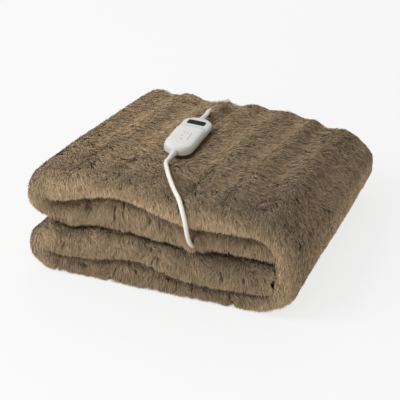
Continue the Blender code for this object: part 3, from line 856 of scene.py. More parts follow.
# ---- Hand controller -----------------------------------------------------------------------------------
@dataclass
class HandController:
    """A bar with round ends, soft shoulders, a raised keypad, a display window and a sleeve at each end."""

    length: float = 0.126
    width: float = 0.0423
    base_rise: float = 0.0074
    cover_rise: float = 0.0083
    shoulder: float = 3.8
    display_sink: float = 0.0024
    keel: float = 3.6
    parting: float = 0.012
    keypad_inset: float = 0.0016
    keypad_rear: float = 0.0130
    keypad_corner: float = 0.006
    keypad_lift: float = 0.0013
    plate_foot: float = 0.0003
    display_y: float = 0.0386
    sleeve_overlap: float = 0.0015
    sleeve_height: float = 0.0070
    sleeve_length: float = 0.0178
    display_size: Pair = (0.0260, 0.0148)
    pose: Pose = field(
        default_factory=lambda: Pose(
            (-0.0379, 0.0012, 0.1315), (math.radians(-3.0), math.radians(4.9), math.radians(5.2)), "YXZ"
        )
    )

    def radius(self, y: Array) -> Array:
        """Half the width at a place along the bar, a little less towards its front end."""
        return self.width / 2 * (1.0 - 0.035 * smooth_step(0.5 - y / self.length))

    @property
    def reach(self) -> float:
        """From the bar's middle to the middle of a round end."""
        return (self.length - self.width) / 2

    def from_spine(self, x: Array, y: Array) -> Array:
        """Distance from the middle line between the two round ends' middles."""
        return np.hypot(x, np.maximum(np.abs(y) - self.reach, 0.0))

    def rise_at(self, y: Array) -> Array:
        """Height of the cover above the waist: lower round the display, with a soft ramp up to the keypad."""
        return self.cover_rise - self.display_sink * smooth_step((y - self.keypad_rear) / 0.013)

    def top(self, x: Array, y: Array) -> Array:
        """Height of the upper face over the underside: the waist's plus rise (1 - (d/r)^p)^(1/p)."""
        share = np.clip(self.from_spine(x, y) / self.radius(y), 0.0, 1.0)
        return self.base_rise + self.rise_at(y) * (1.0 - share**self.shoulder) ** (1.0 / self.shoulder)

    def housing(self) -> bpy.types.Object:
        """Rows climb a superellipse from the lower spine to the upper, columns go round the bar.

        Returns:
            The housing, with a fine parting groove at its waist.
        """
        turn = np.linspace(0.0, math.pi, 25)
        side = np.linspace(-1.0, 1.0, 31)[1:-1]
        angle = np.concatenate([turn, np.full(29, math.pi), turn + math.pi, np.zeros(29)])
        spine = np.concatenate([np.ones(25), -side, -np.ones(25), side]) * self.reach
        polar = np.linspace(-math.pi / 2, math.pi / 2, 73)
        low_reach, low_rise = superellipse(polar, self.keel)
        high_reach, high_rise = superellipse(polar, self.shoulder)
        out = np.where(polar < 0.0, low_reach, high_reach)
        rise = np.where(polar < 0.0, low_rise * self.base_rise, high_rise * self.cover_rise)
        out = out - self.parting * bell(rise, -0.0012, 0.00035)
        around_y = spine + np.sin(angle) * self.width / 2
        size = self.radius(around_y)
        x = np.cos(angle) * size * out[:, None]
        y = spine + np.sin(angle) * size * out[:, None]
        cover = np.where(polar > 0.0, high_rise, 0.0)[:, None] * (self.rise_at(y) - self.cover_rise)
        rings = grid_of(x, y, self.base_rise + rise[:, None] + cover)
        return loft("controller_housing", self.pose.out(rings), HOUSING)

    def plate(
        self, name: str, outline: Array, lift: float, finish: MouldedFinish, edge: float
    ) -> bpy.types.Object:
        """A plate that follows the housing's upper face and rolls down at its edge.

        Args:
            name: The object's name.
            outline: (n, 2) closed outline.
            lift: Height over the housing.
            finish: What it is made of.
            edge: Width of the rolled edge.

        Returns:
            The plate.
        """
        middle = outline.mean(axis=0)
        spread = np.linalg.norm(outline - middle, axis=1).mean()
        inner = 1.0 - edge / spread
        rolled = inner + (1.0 - inner) * np.array([0.38, 0.71, 0.92, 1.0, 1.0])
        share = np.concatenate([np.linspace(0.0, inner, 22), rolled])
        rise = np.concatenate([np.ones(22), [0.93, 0.71, 0.38, 0.0]]) * lift
        rise = np.append(rise, -self.plate_foot)
        place = middle + share[:, None, None] * (outline - middle)
        rings = np.dstack([place, self.top(place[..., 0], place[..., 1]) + rise[:, None]])
        under = rings[-1:].copy()
        under[..., :2] = middle
        return loft(name, self.pose.out(np.concatenate([rings, under])), finish)

    def keypad_outline(self) -> Array:
        """The housing's front end, drawn in, closed by a nearly straight rear edge with round corners."""
        radius = self.width / 2 - self.keypad_inset
        angle = np.linspace(math.pi, 2.0 * math.pi, 49)
        front = np.column_stack([radius * np.cos(angle), -self.reach + radius * np.sin(angle)])
        corner = self.keypad_corner
        bend = np.linspace(0.0, math.pi / 2, 9)
        right = np.column_stack([np.cos(bend), np.sin(bend)]) * corner
        right = right + [radius - corner, self.keypad_rear - corner]
        left = right[::-1] * [-1.0, 1.0]
        side = np.linspace(0.0, 1.0, 31)[1:-1, None]
        climb = front[-1] + side * (right[0] - front[-1])
        across = right[-1] + side * (left[0] - right[-1])
        across[:, 1] += 0.0008 * (1.0 - (across[:, 0] / radius) ** 2)
        return np.concatenate([front, climb, right, across, left, climb[::-1] * [-1.0, 1.0]])

    @staticmethod
    def rounded_outline(middle: Pair, size: Pair, power: float, turn: float = 0.0) -> Array:
        """A superellipse outline.

        Args:
            middle: Its middle.
            size: Its two sides.
            power: How square it is.
            turn: Its angle.

        Returns:
            (n, 2) places.
        """
        wide, high = superellipse(angles_round(64), power)
        x, y = wide * size[0] / 2, high * size[1] / 2
        c, s = math.cos(turn), math.sin(turn)
        return np.column_stack([middle[0] + x * c - y * s, middle[1] + x * s + y * c])

    def marks(self) -> list[bpy.types.Object]:
        """Plain key marks: two small keys, one lower key, a lamp and a thin rib beside them.

        Returns:
            The marks.
        """
        lift = self.keypad_lift + 0.00015
        shapes = {
            "key_mark_left": ((-0.0026, -0.0105), (0.0024, 0.0012), 4.0, 0.0),
            "key_mark_right": ((0.0027, -0.0115), (0.0024, 0.0012), 4.0, 0.4),
            "key_mark_lower": ((-0.0027, -0.0225), (0.0026, 0.0014), 3.0, 0.0),
            "key_lamp": ((0.0003, -0.0342), (0.0024, 0.0024), 2.0, 0.0),
            "key_rib": ((0.0079, -0.0220), (0.0005, 0.0262), 8.0, 0.04),
        }
        return [
            self.plate(name, self.rounded_outline(*shape), lift, KEY_MARK, edge=0.0001)
            for name, shape in shapes.items()
        ]

    def covers(self, own: Array, margin: float) -> Array:
        """Which of its own frame's points stand in the housing's outline, widened by a margin."""
        return self.from_spine(own[:, 0], own[:, 1]) < self.width / 2 + margin

    def keep_out(self, points: Array, margin: float) -> Array:
        """Which places stand in the housing's outline, widened by a margin, and not far under it."""
        own = self.pose.into(points)
        return self.covers(own, margin) & (own[:, 2] > -0.02)

    def tuck_under(self, points: Array, margin: float = 0.0008, drop: float = 0.0007) -> Array:
        """Presses what stands in the housing's outline down to just under it.

        Args:
            points: (n, 3) places.
            margin: Added to the outline.
            drop: How far under the housing they end.

        Returns:
            The moved places.
        """
        own = self.pose.into(points)
        own[:, 2] = np.where(self.covers(own, margin), np.minimum(own[:, 2], -drop), own[:, 2])
        return self.pose.out(own)

    def build(self) -> None:
        """Builds the controller with its sleeves."""
        dress(self.housing(), "white_plastic", "controller_base", "controller_cover")
        keypad = self.plate("keypad_panel", self.keypad_outline(), self.keypad_lift, KEYPAD, edge=0.0012)
        dress(keypad, "keypad", "controller_keypad")
        outline = self.rounded_outline((0.0, self.display_y), self.display_size, 9.0)
        window = self.plate("display_pane", outline, 0.0003, WINDOW, edge=0.0003)
        dress(window, "dark_window", "controller_display")
        end = self.length / 2 - self.sleeve_overlap
        for name, sign in (("strain_relief_front", -1.0), ("strain_relief_rear", 1.0)):
            own = Pose((0.0, sign * end, self.sleeve_height), (-sign * math.pi / 2, 0.0, 0.0))
            sleeve = StrainRelief(name + "_sleeve", Pose((0.0, 0.0, 0.0)), self.sleeve_length).build()
            sleeve.data.transform(self.pose.whole() @ own.whole())
            dress(sleeve, "white_plastic", name)
        for mark in self.marks():
            dress(mark, "keypad")
        LOG.info("controller")


# ---- Cloth ---------------------------------------------------------------------------------------------
class Fold(Enum):
    """The stretches of the folded section, in the order in which it runs."""

    PLY_2 = 0
    UPPER_LEFT = 1
    PLY_1 = 2
    WRAP = 3
    PLY_4 = 4
    LOWER_LEFT = 5
    PLY_3 = 6


@dataclass(frozen=True)
class Stretch:
    """One stretch of the section: its middle line's ends in (x, z), and how far its front stands proud."""

    start: Pair
    end: Pair
    proud: float


@dataclass(frozen=True)
class Crease:
    """A crease of the front: a rise and humps, or less towards the right, faded off its own height."""

    height: float
    spread: float
    rise: float
    right_drop: float
    humps: tuple[Triple, ...]  # (rise, middle across, width)

    def lift(self, x: Array, z: Array) -> Array:
        """(Rise + the humps' bell curves of x - the drop) times a bell curve of z."""
        humps = sum(rise * bell(x, middle, width) for rise, middle, width in self.humps)
        across = self.rise + humps - self.right_drop * smooth_step(x / 0.05)
        return across * bell(z, self.height, self.spread)


@dataclass
class FoldedCloth:
    """The throw folded once in half, then like a gate and shut like a book, as one continuous surface.

    Its coordinates are along, from hem to hem through all folds, and round, from the back hem of the outer
    layer over the front nose to the back hem of the inner layer.
    """

    depth: float = 0.394
    half_ply: float = 0.017
    slit: float = 0.003
    nose: float = 0.021
    hem_round: float = 0.003
    right_end: float = 0.127
    wrap_reach: float = 0.054
    wrap_power: float = 2.35
    rib_pitch: float = 0.052
    rib_depth: float = 0.0078
    wave: float = 0.0034
    wave_turns: float = 31.0
    shift: Pair = (0.00564, -0.00232)
    hem_recess: float = 0.040
    root_depth: float = 0.0060
    sheet_thickness: float = 0.0045
    creases: tuple[Crease, ...] = (
        Crease(0.117, 0.022, 0.0, 0.004, ((0.011, -0.045, 0.045), (-0.011, -0.140, 0.032))),
        Crease(0.078, 0.020, -0.004, 0.0, ((-0.007, -0.128, 0.024),)),
        Crease(0.039, 0.017, -0.009, 0.0, ((0.013, -0.025, 0.045), (0.009, -0.185, 0.030))),
    )
    stretches: dict[Fold, Stretch] = field(
        default_factory=lambda: {
            Fold.PLY_2: Stretch((0.161, 0.0965), (-0.150, 0.0965), -0.011),
            Fold.UPPER_LEFT: Stretch((-0.150, 0.0965), (-0.150, 0.1370), 0.001),
            Fold.PLY_1: Stretch((-0.150, 0.1370), (0.127, 0.1325), 0.003),
            Fold.WRAP: Stretch((0.127, 0.1325), (0.127, 0.017), -0.001),
            Fold.PLY_4: Stretch((0.127, 0.017), (-0.150, 0.017), -0.008),
            Fold.LOWER_LEFT: Stretch((-0.150, 0.017), (-0.150, 0.0560), 0.001),
            Fold.PLY_3: Stretch((-0.150, 0.0560), (0.159, 0.0535), 0.002),
        }
    )

    def line_of(self, fold: Fold) -> Array:
        """A stretch's middle line: level with a smooth change of height, or half a superellipse.

        Args:
            fold: Which stretch.

        Returns:
            (n, 2) places in (x, z), dense.
        """
        row = self.stretches[fold]
        share = np.linspace(0.0, 1.0, 600)
        if fold is Fold.WRAP:
            reach, power = self.wrap_reach, self.wrap_power
        elif fold in (Fold.UPPER_LEFT, Fold.LOWER_LEFT):
            reach, power = -abs(row.end[1] - row.start[1]) / 2, 2.0
        else:
            x = row.start[0] + (row.end[0] - row.start[0]) * share
            return np.column_stack([x, row.start[1] + (row.end[1] - row.start[1]) * smooth_step(share)])
        angle = math.pi * share
        up = np.sign(np.cos(angle)) * np.abs(np.cos(angle)) ** (2.0 / power)
        x = row.start[0] + reach * np.sin(angle) ** (2.0 / power)
        return np.column_stack([x, (row.start[1] + row.end[1]) / 2 + (row.start[1] - row.end[1]) / 2 * up])

    def middle_line(self, step: float) -> tuple[Array, Array, Array, Array]:
        """The whole section's middle line at about equal steps.

        Args:
            step: Metres between points.

        Returns:
            (n, 2) places, how far each front stands proud, its rib weight and its Fold's number.
        """
        lines, proud, ribbed, folds = [], [], [], []
        previous = self.stretches[Fold.PLY_2].proud
        for fold, row in self.stretches.items():
            line = self.line_of(fold)
            along = run_of(line)
            count = round(along[-1] / step)
            wanted = np.linspace(0.0, along[-1], count + 1)
            share = np.linspace(0.0, 1.0, count + 1)
            first = 0 if fold is Fold.PLY_2 else 1
            lines.append(np.column_stack([np.interp(wanted, along, line[:, k]) for k in (0, 1)])[first:])
            proud.append((previous + (row.proud - previous) * smooth_step(share * 2.0))[first:])
            weight = {
                Fold.PLY_1: np.ones_like(share),
                Fold.WRAP: 1.0 - smooth_step(share * 1.6),
                Fold.UPPER_LEFT: smooth_step(share),
            }
            ribbed.append(weight.get(fold, np.zeros_like(share))[first:])
            folds.append(np.full(count + 1 - first, fold.value))
            previous = row.proud
        return tuple(np.concatenate(parts) for parts in (lines, proud, ribbed, folds))

    def outline(self, step: float) -> Array:
        """The outer face of a ply's section in (offset, depth), from the outer hem over the nose.

        Args:
            step: Metres between points.

        Returns:
            (n, 2) places, in the order of round.
        """
        back = self.depth - self.hem_round
        middle = (self.half_ply + self.slit / 2) / 2
        reach = self.half_ply - middle
        bend = np.linspace(math.pi, 0.0, 10)[:-1]
        hem = np.column_stack([middle + reach * np.cos(bend), back + self.hem_round * np.sin(bend)])
        level = np.arange(back, self.nose, -step)
        upper = np.column_stack([np.full(len(level), self.half_ply), level])
        turn = np.linspace(0.0, math.pi, 26)
        front = np.column_stack([self.half_ply * np.cos(turn), self.nose * (1.0 - np.sin(turn))])
        lower = upper[::-1][:-1] * [-1.0, 1.0]
        return np.concatenate([hem, upper, front, lower, hem[::-1] * [-1.0, 1.0]])

    def settle(self, points: Array) -> Array:
        """The creases and the slump: lower towards the back and right, with a bed under the controller.

        Args:
            points: (..., 3) places as folded.

        Returns:
            The settled places.
        """
        x, y, z = points[..., 0], points[..., 1], points[..., 2]
        lifted = smooth_step(z / 0.020)
        back = np.clip(y / self.depth + 0.5, 0.0, 1.0)
        right = np.clip(x / 0.300 + 0.5, 0.0, 1.0)
        uneven = sum(crease.lift(x, z) for crease in self.creases)
        z = z + uneven * (1.0 - smooth_step(back * self.depth / 0.13))
        z = z * (1.0 - 0.26 * back**1.7) * (1.0 - 0.045 * smooth_step(right))
        corner = smooth_step((x - 0.080) / (self.right_end - 0.080)) * back**2
        z = z * (1.0 - 0.065 * corner)
        z = z * (1.0 - 0.045 * back**3 * bell(x, -0.052, 0.026))
        z = z + 0.0045 * back**3 * lifted * bell(x, 0.020, 0.050)
        x = x + (0.006 * np.sin(math.pi * back) * (1.0 - smooth_step(3.0 * right)) - 0.017 * corner) * lifted
        bed = HandController().pose
        aside = x - bed.at[0] + (y - bed.at[1]) * math.tan(bed.turns[2])
        along = y - bed.at[1]
        window = np.exp(-((aside / 0.036) ** 6) - (along / 0.094) ** 8)
        slope = along * math.tan(bed.turns[0]) - aside * math.tan(bed.turns[1])
        z = z - window * np.maximum(z - (bed.at[2] + slope - 0.0013), 0.0)
        return np.stack([x, y, z], axis=-1)

    def surface(self, step: float = 0.0035) -> "ClothSurface":
        """The ply's outline carried along the folded middle line, then settled.

        Offset goes along the line's normal, depth along Y.

        Args:
            step: Metres between points.

        Returns:
            The outer face as a grid, with its normals and stretches.
        """
        line, proud, ribbed, folds = self.middle_line(step)
        outline = self.outline(step)
        tangent = unit(np.gradient(line, axis=0))
        normal = np.column_stack([-tangent[:, 1], tangent[:, 0]])
        along = run_of(line)
        rib = 0.5 - 0.5 * np.cos(2.0 * math.pi * along / self.rib_pitch)
        trough = 1.0 - rib * ribbed * self.rib_depth / self.half_ply
        offset = np.where(outline[:, 0] > self.slit, outline[:, 0] * trough[:, None], outline[:, 0])
        x = line[:, :1] + normal[:, :1] * offset
        z = line[:, 1:] + normal[:, 1:] * offset
        waves = self.wave * np.sin(along * self.wave_turns)[:, None]
        forward = proud[:, None] * (1.0 - smooth_step(outline[:, 1] / 0.12))
        forward = forward - waves * (1.0 - smooth_step(outline[:, 1] / 0.09))
        depth = outline[:, 1] - forward * smooth_step(z / 0.020)
        hem = np.maximum(smooth_step(1.0 - along / 0.10), smooth_step(1.0 - (along[-1] - along) / 0.10))
        x = x - self.hem_recess * hem[:, None] * smooth_step((depth - 0.03) / 0.13)
        points = self.settle(np.stack([x, depth - self.depth / 2, z], axis=2))
        points[..., :2] -= np.array(self.shift)
        return ClothSurface(points, along, run_of(outline), outline, folds)

    def sheet(self, surface: "ClothSurface") -> bpy.types.Object:
        """The backing: a thin closed sheet under the pile, its outer face root_depth inside the surface.

        Args:
            surface: The cloth's outer face.

        Returns:
            The sheet.
        """
        kept = slice(10, surface.points.shape[1] - 10)
        outer = surface.points[:, kept] - self.root_depth * surface.normals[:, kept]
        inner = outer - self.sheet_thickness * surface.normals[:, kept]
        ring = np.concatenate([outer, inner[:, ::-1]], axis=1)
        ring[..., 2] = np.maximum(ring[..., 2], 0.0012)
        rows, columns = ring.shape[:2]
        faces = grid_faces(rows, columns, closed_rows=False, closed_columns=True)
        half = columns // 2
        edge = np.arange(half - 1)
        cap = np.column_stack([edge, edge + 1, columns - 2 - edge, columns - 1 - edge])
        last = (rows - 1) * columns
        faces = np.concatenate([faces, cap[:, ::-1], cap + last])
        piece = link_mesh("throw_backing", ring.reshape(-1, 3), faces, KnitFinish().material())
        close_mesh(piece, 60.0)
        return piece


@dataclass
class ClothSurface:
    """A grid of points on the cloth's outer face, read at fractional places.

    The fields are (rows, columns, 3) places, (rows,) metres along the section, (columns,) metres round the
    ply, (columns, 2) offset and depth, and (rows,) Fold numbers. A spot is a place's (along, round).
    """

    points: Array
    along: Array
    around: Array
    outline: Array
    folds: Array

    def __post_init__(self) -> None:
        """Works out the grid's slopes, normals and cell areas."""
        self.by_along = np.gradient(self.points, self.along, axis=0)
        self.by_around = np.gradient(self.points, self.around, axis=1)
        self.normals = unit(np.cross(self.by_around, self.by_along))
        stretch = np.linalg.norm(np.cross(self.by_along, self.by_around), axis=2)[:-1, :-1]
        self.areas = stretch * (np.diff(self.along)[:, None] * np.diff(self.around)[None])

    def read(self, grid: Array, spots: Array) -> Array:
        """Bilinear reading of a grid of values.

        Args:
            grid: (rows, columns, k) values.
            spots: (n, 2) metres along and round.

        Returns:
            (n, k) values.
        """
        row = np.interp(spots[:, 0], self.along, np.arange(len(self.along)))
        column = np.interp(spots[:, 1], self.around, np.arange(len(self.around)))
        i = np.minimum(row.astype(int), len(self.along) - 2)
        j = np.minimum(column.astype(int), len(self.around) - 2)
        u, v = (row - i)[:, None], (column - j)[:, None]
        first = grid[i, j] * (1 - v) + grid[i, j + 1] * v
        second = grid[i + 1, j] * (1 - v) + grid[i + 1, j + 1] * v
        return first * (1 - u) + second * u


class Patch(Enum):
    """The parts of the cloth that carry their own piece of pile."""

    TOP_LEFT = "pile_top_left"
    TOP_RIGHT = "pile_top_right"
    RIGHT = "pile_right"
    LEFT = "pile_left"
    FRONT_UPPER = "pile_front_upper"
    FRONT_LOWER = "pile_front_lower"
    BACK = "pile_back"


@dataclass(frozen=True)
class Sunk:
    """A sunk stretch of lead: its places, how much higher hairs stand over it and how far round."""

    places: Array
    rise: float
    reach: float


@dataclass(frozen=True)
class Burial:
    """Where leads sink into the pile: the front one at the nose, the rear one in a dip and at the edge.

    A lift is how much higher hairs stand over the stretch, and how far round it.
    """

    entry_height: float = 0.093
    entry_depth: float = -0.165
    entry_shift: Triple = (0.0, 0.0, 0.008)
    entry_lift: Pair = (0.0090, 0.0120)
    rear_start: float = 0.100
    rear_end: float = 0.158
    dip_shift: Triple = (-0.004, 0.0, 0.0)
    dip_lift: Pair = (0.0165, 0.0145)
    edge_height: float = 0.080
    edge_lift: Pair = (0.0060, 0.0145)
    every: int = 4

    def split(self, front: Array, rear: Array) -> tuple[Array, list[Sunk]]:
        """Parts the leads' places into what shows and what hairs stand up over.

        Args:
            front: (n, 3) places of the blanket lead.
            rear: (n, 3) places of the mains lead.

        Returns:
            The places that show, and the sunk stretches.
        """
        entering = (front[:, 2] < self.entry_height) & (front[:, 1] < self.entry_depth)
        free = rear[:, 1] < self.rear_start
        dip = ~free & (rear[:, 1] < self.rear_end)
        edge = (rear[:, 1] > self.rear_end) & (rear[:, 2] > self.edge_height)
        sunk = [
            Sunk(front[entering][:: self.every] + self.entry_shift, *self.entry_lift),
            Sunk(rear[dip][:: self.every] + self.dip_shift, *self.dip_lift),
            Sunk(rear[edge][:: self.every], *self.edge_lift),
        ]
        return np.concatenate([front[~entering], rear[free]]), sunk


@dataclass
class TuftedPile:
    """Long soft pile as tapered two-triangle hairs, gathered into tufts and combed over the cloth."""

    MAP = "OFBake"
    surface: ClothSurface
    cloth: FoldedCloth
    controller: HandController
    lead_places: Array
    sunk: list[Sunk]
    hairs: int = 408_000
    hair_length: float = 0.0160
    hair_width: float = 0.0010
    shades: int = 16
    seed: int = 20

    # Where patches meet: depth of the front, its height of change, margin of the back, split of the top.
    front_depth: float = 0.032
    front_split: float = 0.075
    back_margin: float = 0.012
    top_split: float = -0.010

    # Directions on the top and near the front, and the wavelengths of the swirls.
    nap: Triple = (0.926, 0.378, 0.0)
    front_nap: Triple = (0.45, -0.85, 0.0)
    broad_swirl: float = 0.060
    fine_swirl: float = 0.024

    # Tufts: their cell, how far they draw hairs in and twist, and how far they flare past the hems.
    tuft_size: float = 0.0085
    gather: float = 0.16
    twist: float = 0.35
    flare: float = 1.6
    flare_width: float = 0.024

    # Hairs: shares of the length that lie down and that come before the bend, spread of direction and roll,
    # how far tips sink, how much tufts and hairs rise by chance, and the least height over the floor.
    lie: float = 0.72
    bend: float = 0.48
    stray: float = 0.22
    roll: float = 0.55
    sink: float = 0.0016
    tuft_lift: float = 0.0014
    hair_lift: float = 0.0009
    least_height: float = 0.0006
    burrow_span: float = 0.030

    # Shade strip of each hair: its middle, random tone from slow clouds, locks and single hairs, painted
    # shade in the rib troughs with painted light on their crests, and painted light on the side that faces
    # right.
    shade: float = 0.56
    clouds: float = 0.06
    locks: float = 0.11
    single: float = 0.19
    ribs: float = 0.10
    right_side_painted_light: float = 0.24

    # Share of the full density of hairs.
    DENSITY = {
        Patch.TOP_LEFT: 1.15, Patch.TOP_RIGHT: 1.1, Patch.RIGHT: 0.95, Patch.LEFT: 1.1,
        Patch.FRONT_UPPER: 1.25, Patch.FRONT_LOWER: 1.15, Patch.BACK: 0.50,
    }

    # How tousled each stretch's front is, and the painted light (above 0) and painted shade (below 0) on its
    # front.
    TOUSLED = {Fold.PLY_2: 1.0, Fold.PLY_4: 1.0, Fold.PLY_3: 0.55}
    FRONT_LIGHT_AND_SHADE = {Fold.PLY_1: 0.26, Fold.PLY_2: -0.14, Fold.PLY_3: -0.26, Fold.PLY_4: -0.46}

    @staticmethod
    def by_fold(shares: dict[Fold, float], fold: Array) -> Array:
        """Each stretch's share by its Fold number, or 0 where the table has none."""
        return np.array([shares.get(row, 0.0) for row in Fold])[fold]

    def patches(self) -> dict[Patch, Array]:
        """Which cells of the surface belong to each patch.

        Returns:
            (rows - 1, columns - 1) truths by patch.
        """
        fold = self.surface.folds[:-1, None]
        offset = (self.surface.outline[:-1, 0] + self.surface.outline[1:, 0])[None] / 2
        depth = (self.surface.outline[:-1, 1] + self.surface.outline[1:, 1])[None] / 2
        outer = offset > 0
        front = depth < self.front_depth
        back = depth > self.cloth.depth - self.back_margin
        body = ~front & ~back
        x, height = self.surface.points[:-1, :-1, 0], self.surface.points[:-1, :-1, 2]
        upper = (fold <= Fold.PLY_1.value) | ((fold == Fold.WRAP.value) & (height > self.front_split))
        top = body & outer & (fold == Fold.PLY_1.value)
        return {
            Patch.TOP_LEFT: top & (x < self.top_split),
            Patch.TOP_RIGHT: top & (x >= self.top_split),
            Patch.RIGHT: body & outer & (fold == Fold.WRAP.value),
            Patch.LEFT: body & outer & ((fold == Fold.UPPER_LEFT.value) | (fold == Fold.LOWER_LEFT.value)),
            Patch.FRONT_UPPER: front & upper,
            Patch.FRONT_LOWER: front & ~upper,
            Patch.BACK: np.broadcast_to(back, x.shape),
        }

    def comb(self, places: Array, normals: Array, lively: Array) -> Array:
        """Which way hairs lie: along the nap, up the left folds, down the front, swirled by two noises.

        Args:
            places: (n, 3) points.
            normals: (n, 3) outward normals.
            lively: (n,) how tousled they are, 0 to 1.

        Returns:
            (n, 3) unit directions in the cloth's face.
        """
        steep = 1.0 - np.clip(normals[:, 2], 0.0, 1.0)
        front = np.clip(-normals[:, 1], 0.0, 1.0)
        forward = smooth_step((0.010 - places[:, 1]) / 0.190)[:, None]
        wanted = np.array(self.nap) * (1.0 - forward) + np.array(self.front_nap) * forward
        left = smooth_step((-normals[:, 0] - 0.05) / 0.50) * (1.0 - smooth_step(front * 1.6))
        wanted[:, 2] = -steep * (1.1 + 2.2 * front) * (1.0 - 2.0 * left)
        wanted[:, 1] -= 0.5 * left
        wanted[:, 0] *= 1.0 - 0.55 * front
        broad = SmoothNoise(self.seed, self.broad_swirl)(places)
        fine = SmoothNoise(self.seed + 1, self.fine_swirl)(places)
        swirl = (0.40 + 0.50 * lively) * broad + (0.28 + 0.40 * lively) * fine
        return swung(laid(wanted, normals), normals, swirl)

    def drift(self, spots: Array, direction: Array, length: Array) -> Array:
        """Where a step in the cloth's face ends.

        Args:
            spots: (n, 2) starts.
            direction: (n, 3) unit directions.
            length: (n,) step lengths.

        Returns:
            (n, 2) spots.
        """
        steps = []
        for grid in (self.surface.by_along, self.surface.by_around):
            slope = self.surface.read(grid, spots)
            size = np.maximum(np.linalg.norm(slope, axis=1), 0.2)
            steps.append(length * ((direction * slope).sum(axis=1) / size**2))
        return spots + np.column_stack(steps)

    def nearest_tufts(self, spots: Array, jitter: Array) -> Array:
        """The jittered cell centre nearest to each hair, over the 3 by 3 cells round it.

        Args:
            spots: (n, 2) hairs.
            jitter: (rows, columns, 2) centres in their cells.

        Returns:
            (n, 2) row and column numbers of the cells.
        """
        home = (spots / self.tuft_size).astype(int) + 1
        best = np.full(len(spots), np.inf)
        cells = home.copy()
        for step in range(9):
            near = home + [step // 3 - 1, step % 3 - 1]
            centre = (near - 1 + jitter[near[:, 0], near[:, 1]]) * self.tuft_size
            distance = ((centre - spots) ** 2).sum(axis=1)
            closer = distance < best
            best = np.where(closer, distance, best)
            cells[closer] = near[closer]
        return cells

    def roots(self, cells: Array, count: int, draw: np.random.Generator) -> Array:
        """Random spots spread evenly by area over a patch.

        Args:
            cells: Truths of the patch's cells.
            count: How many.
            draw: The random source.

        Returns:
            (count, 2) spots.
        """
        total = np.cumsum((self.surface.areas * cells).ravel())
        picks = (np.arange(count) + draw.random(count)) / count * total[-1]
        index = np.minimum(np.searchsorted(total, picks), total.size - 1)
        sides = zip((self.surface.along, self.surface.around), np.unravel_index(index, cells.shape))
        return np.column_stack([line[k] + draw.random(count) * np.diff(line)[k] for line, k in sides])

    def clear_lead(self, points: Array, normals: Array, clearance: float = 0.0034) -> Array:
        """Presses hairs that would stand in the lead down beside and under it.

        Args:
            points: (n, 3) places.
            normals: (n, 3) outward directions of the cloth.
            clearance: Least distance from the lead's middle line.

        Returns:
            The moved places.
        """
        for part, gaps in near_gaps(points, self.lead_places, clearance):
            nearest = gaps.argmin(axis=1)
            inside = gaps[np.arange(len(part)), nearest] < clearance
            part, nearest = part[inside], nearest[inside]
            aside = points[part] - self.lead_places[nearest]
            out = (aside * normals[part]).sum(axis=1, keepdims=True)
            aside = aside - normals[part] * (out + np.abs(out) + 0.3 * clearance)
            points[part] = self.lead_places[nearest] + unit(aside) * clearance
        return points

    def burrow(self, points: Array) -> Array:
        """How much higher hairs stand where the lead sinks among them: rise e^-(distance / reach)^2.

        Args:
            points: (n, 3) roots.

        Returns:
            (n,) heights.
        """
        rise = np.zeros(len(points))
        for row in self.sunk:
            for part, gaps in near_gaps(points, row.places, self.burrow_span):
                rise[part] += row.rise * bell(gaps.min(axis=1), 0.0, row.reach)
        return rise

    def grow(self, patch: Patch, cells: Array, count: int) -> bpy.types.Object:
        """Grows one patch: each hair rises from its root, bends over at its middle and lies along the nap.

        Tip = own drift mixed with its tuft's tip. Corners: root, middle left, middle right, tip.

        Args:
            patch: Which patch.
            cells: Truths of its cells.
            count: How many hairs.

        Returns:
            The joined hairs.
        """
        draw = np.random.default_rng(self.seed + 100 + list(Patch).index(patch))
        surface, read = self.surface, self.surface.read
        spots = self.roots(cells, count, draw)
        at = read(surface.points, spots)
        free = ~self.controller.keep_out(at, -0.004)
        spots, at, count = spots[free], at[free], int(free.sum())
        normal = unit(read(surface.normals, spots))

        table = np.random.default_rng(self.seed)
        spans = (surface.along[-1], surface.around[-1])
        traits = table.random((*(int(span / self.tuft_size) + 4 for span in spans), 6))
        cell = self.nearest_tufts(spots, traits[..., :2])
        trait = traits[cell[:, 0], cell[:, 1]]
        hearts = (cell - 1 + trait[:, :2]) * self.tuft_size
        heart_normal = unit(read(surface.normals, hearts))
        fold = surface.folds[np.searchsorted(surface.along, spots[:, 0]).clip(0, len(surface.folds) - 1)]
        facing = np.clip(-normal[:, 1], 0.0, 1.0)
        lively = facing * self.by_fold(self.TOUSLED, fold)
        to_hem = np.minimum(spots[:, 0], surface.along[-1] - spots[:, 0])
        outward = smooth_step(1.0 - to_hem / self.flare_width)[:, None] * np.array([self.flare, 0.0, 0.0])
        tuft_way = self.comb(read(surface.points, hearts), heart_normal, lively)
        tuft_way = unit(tuft_way + outward * facing[:, None])
        tuft_way = swung(tuft_way, heart_normal, self.twist * (1.0 + lively) * (trait[:, 2] - 0.5))
        way = swung(laid(tuft_way, normal), normal, self.stray * draw.normal(size=count))

        length = self.hair_length * (0.75 + 0.5 * draw.random(count)) * (1.0 + 0.30 * lively)
        tuft_length = self.hair_length * (0.75 + 0.5 * trait[:, 3])
        tips = self.drift(spots, way, self.lie * length)
        goals = self.drift(hearts, tuft_way, self.lie * tuft_length)
        pull = (self.gather + 0.16 * lively) * (0.7 + 0.6 * draw.random(count))
        tips = tips + pull[:, None] * (goals - tips)
        bends = (1.0 - self.bend) * spots + self.bend * tips

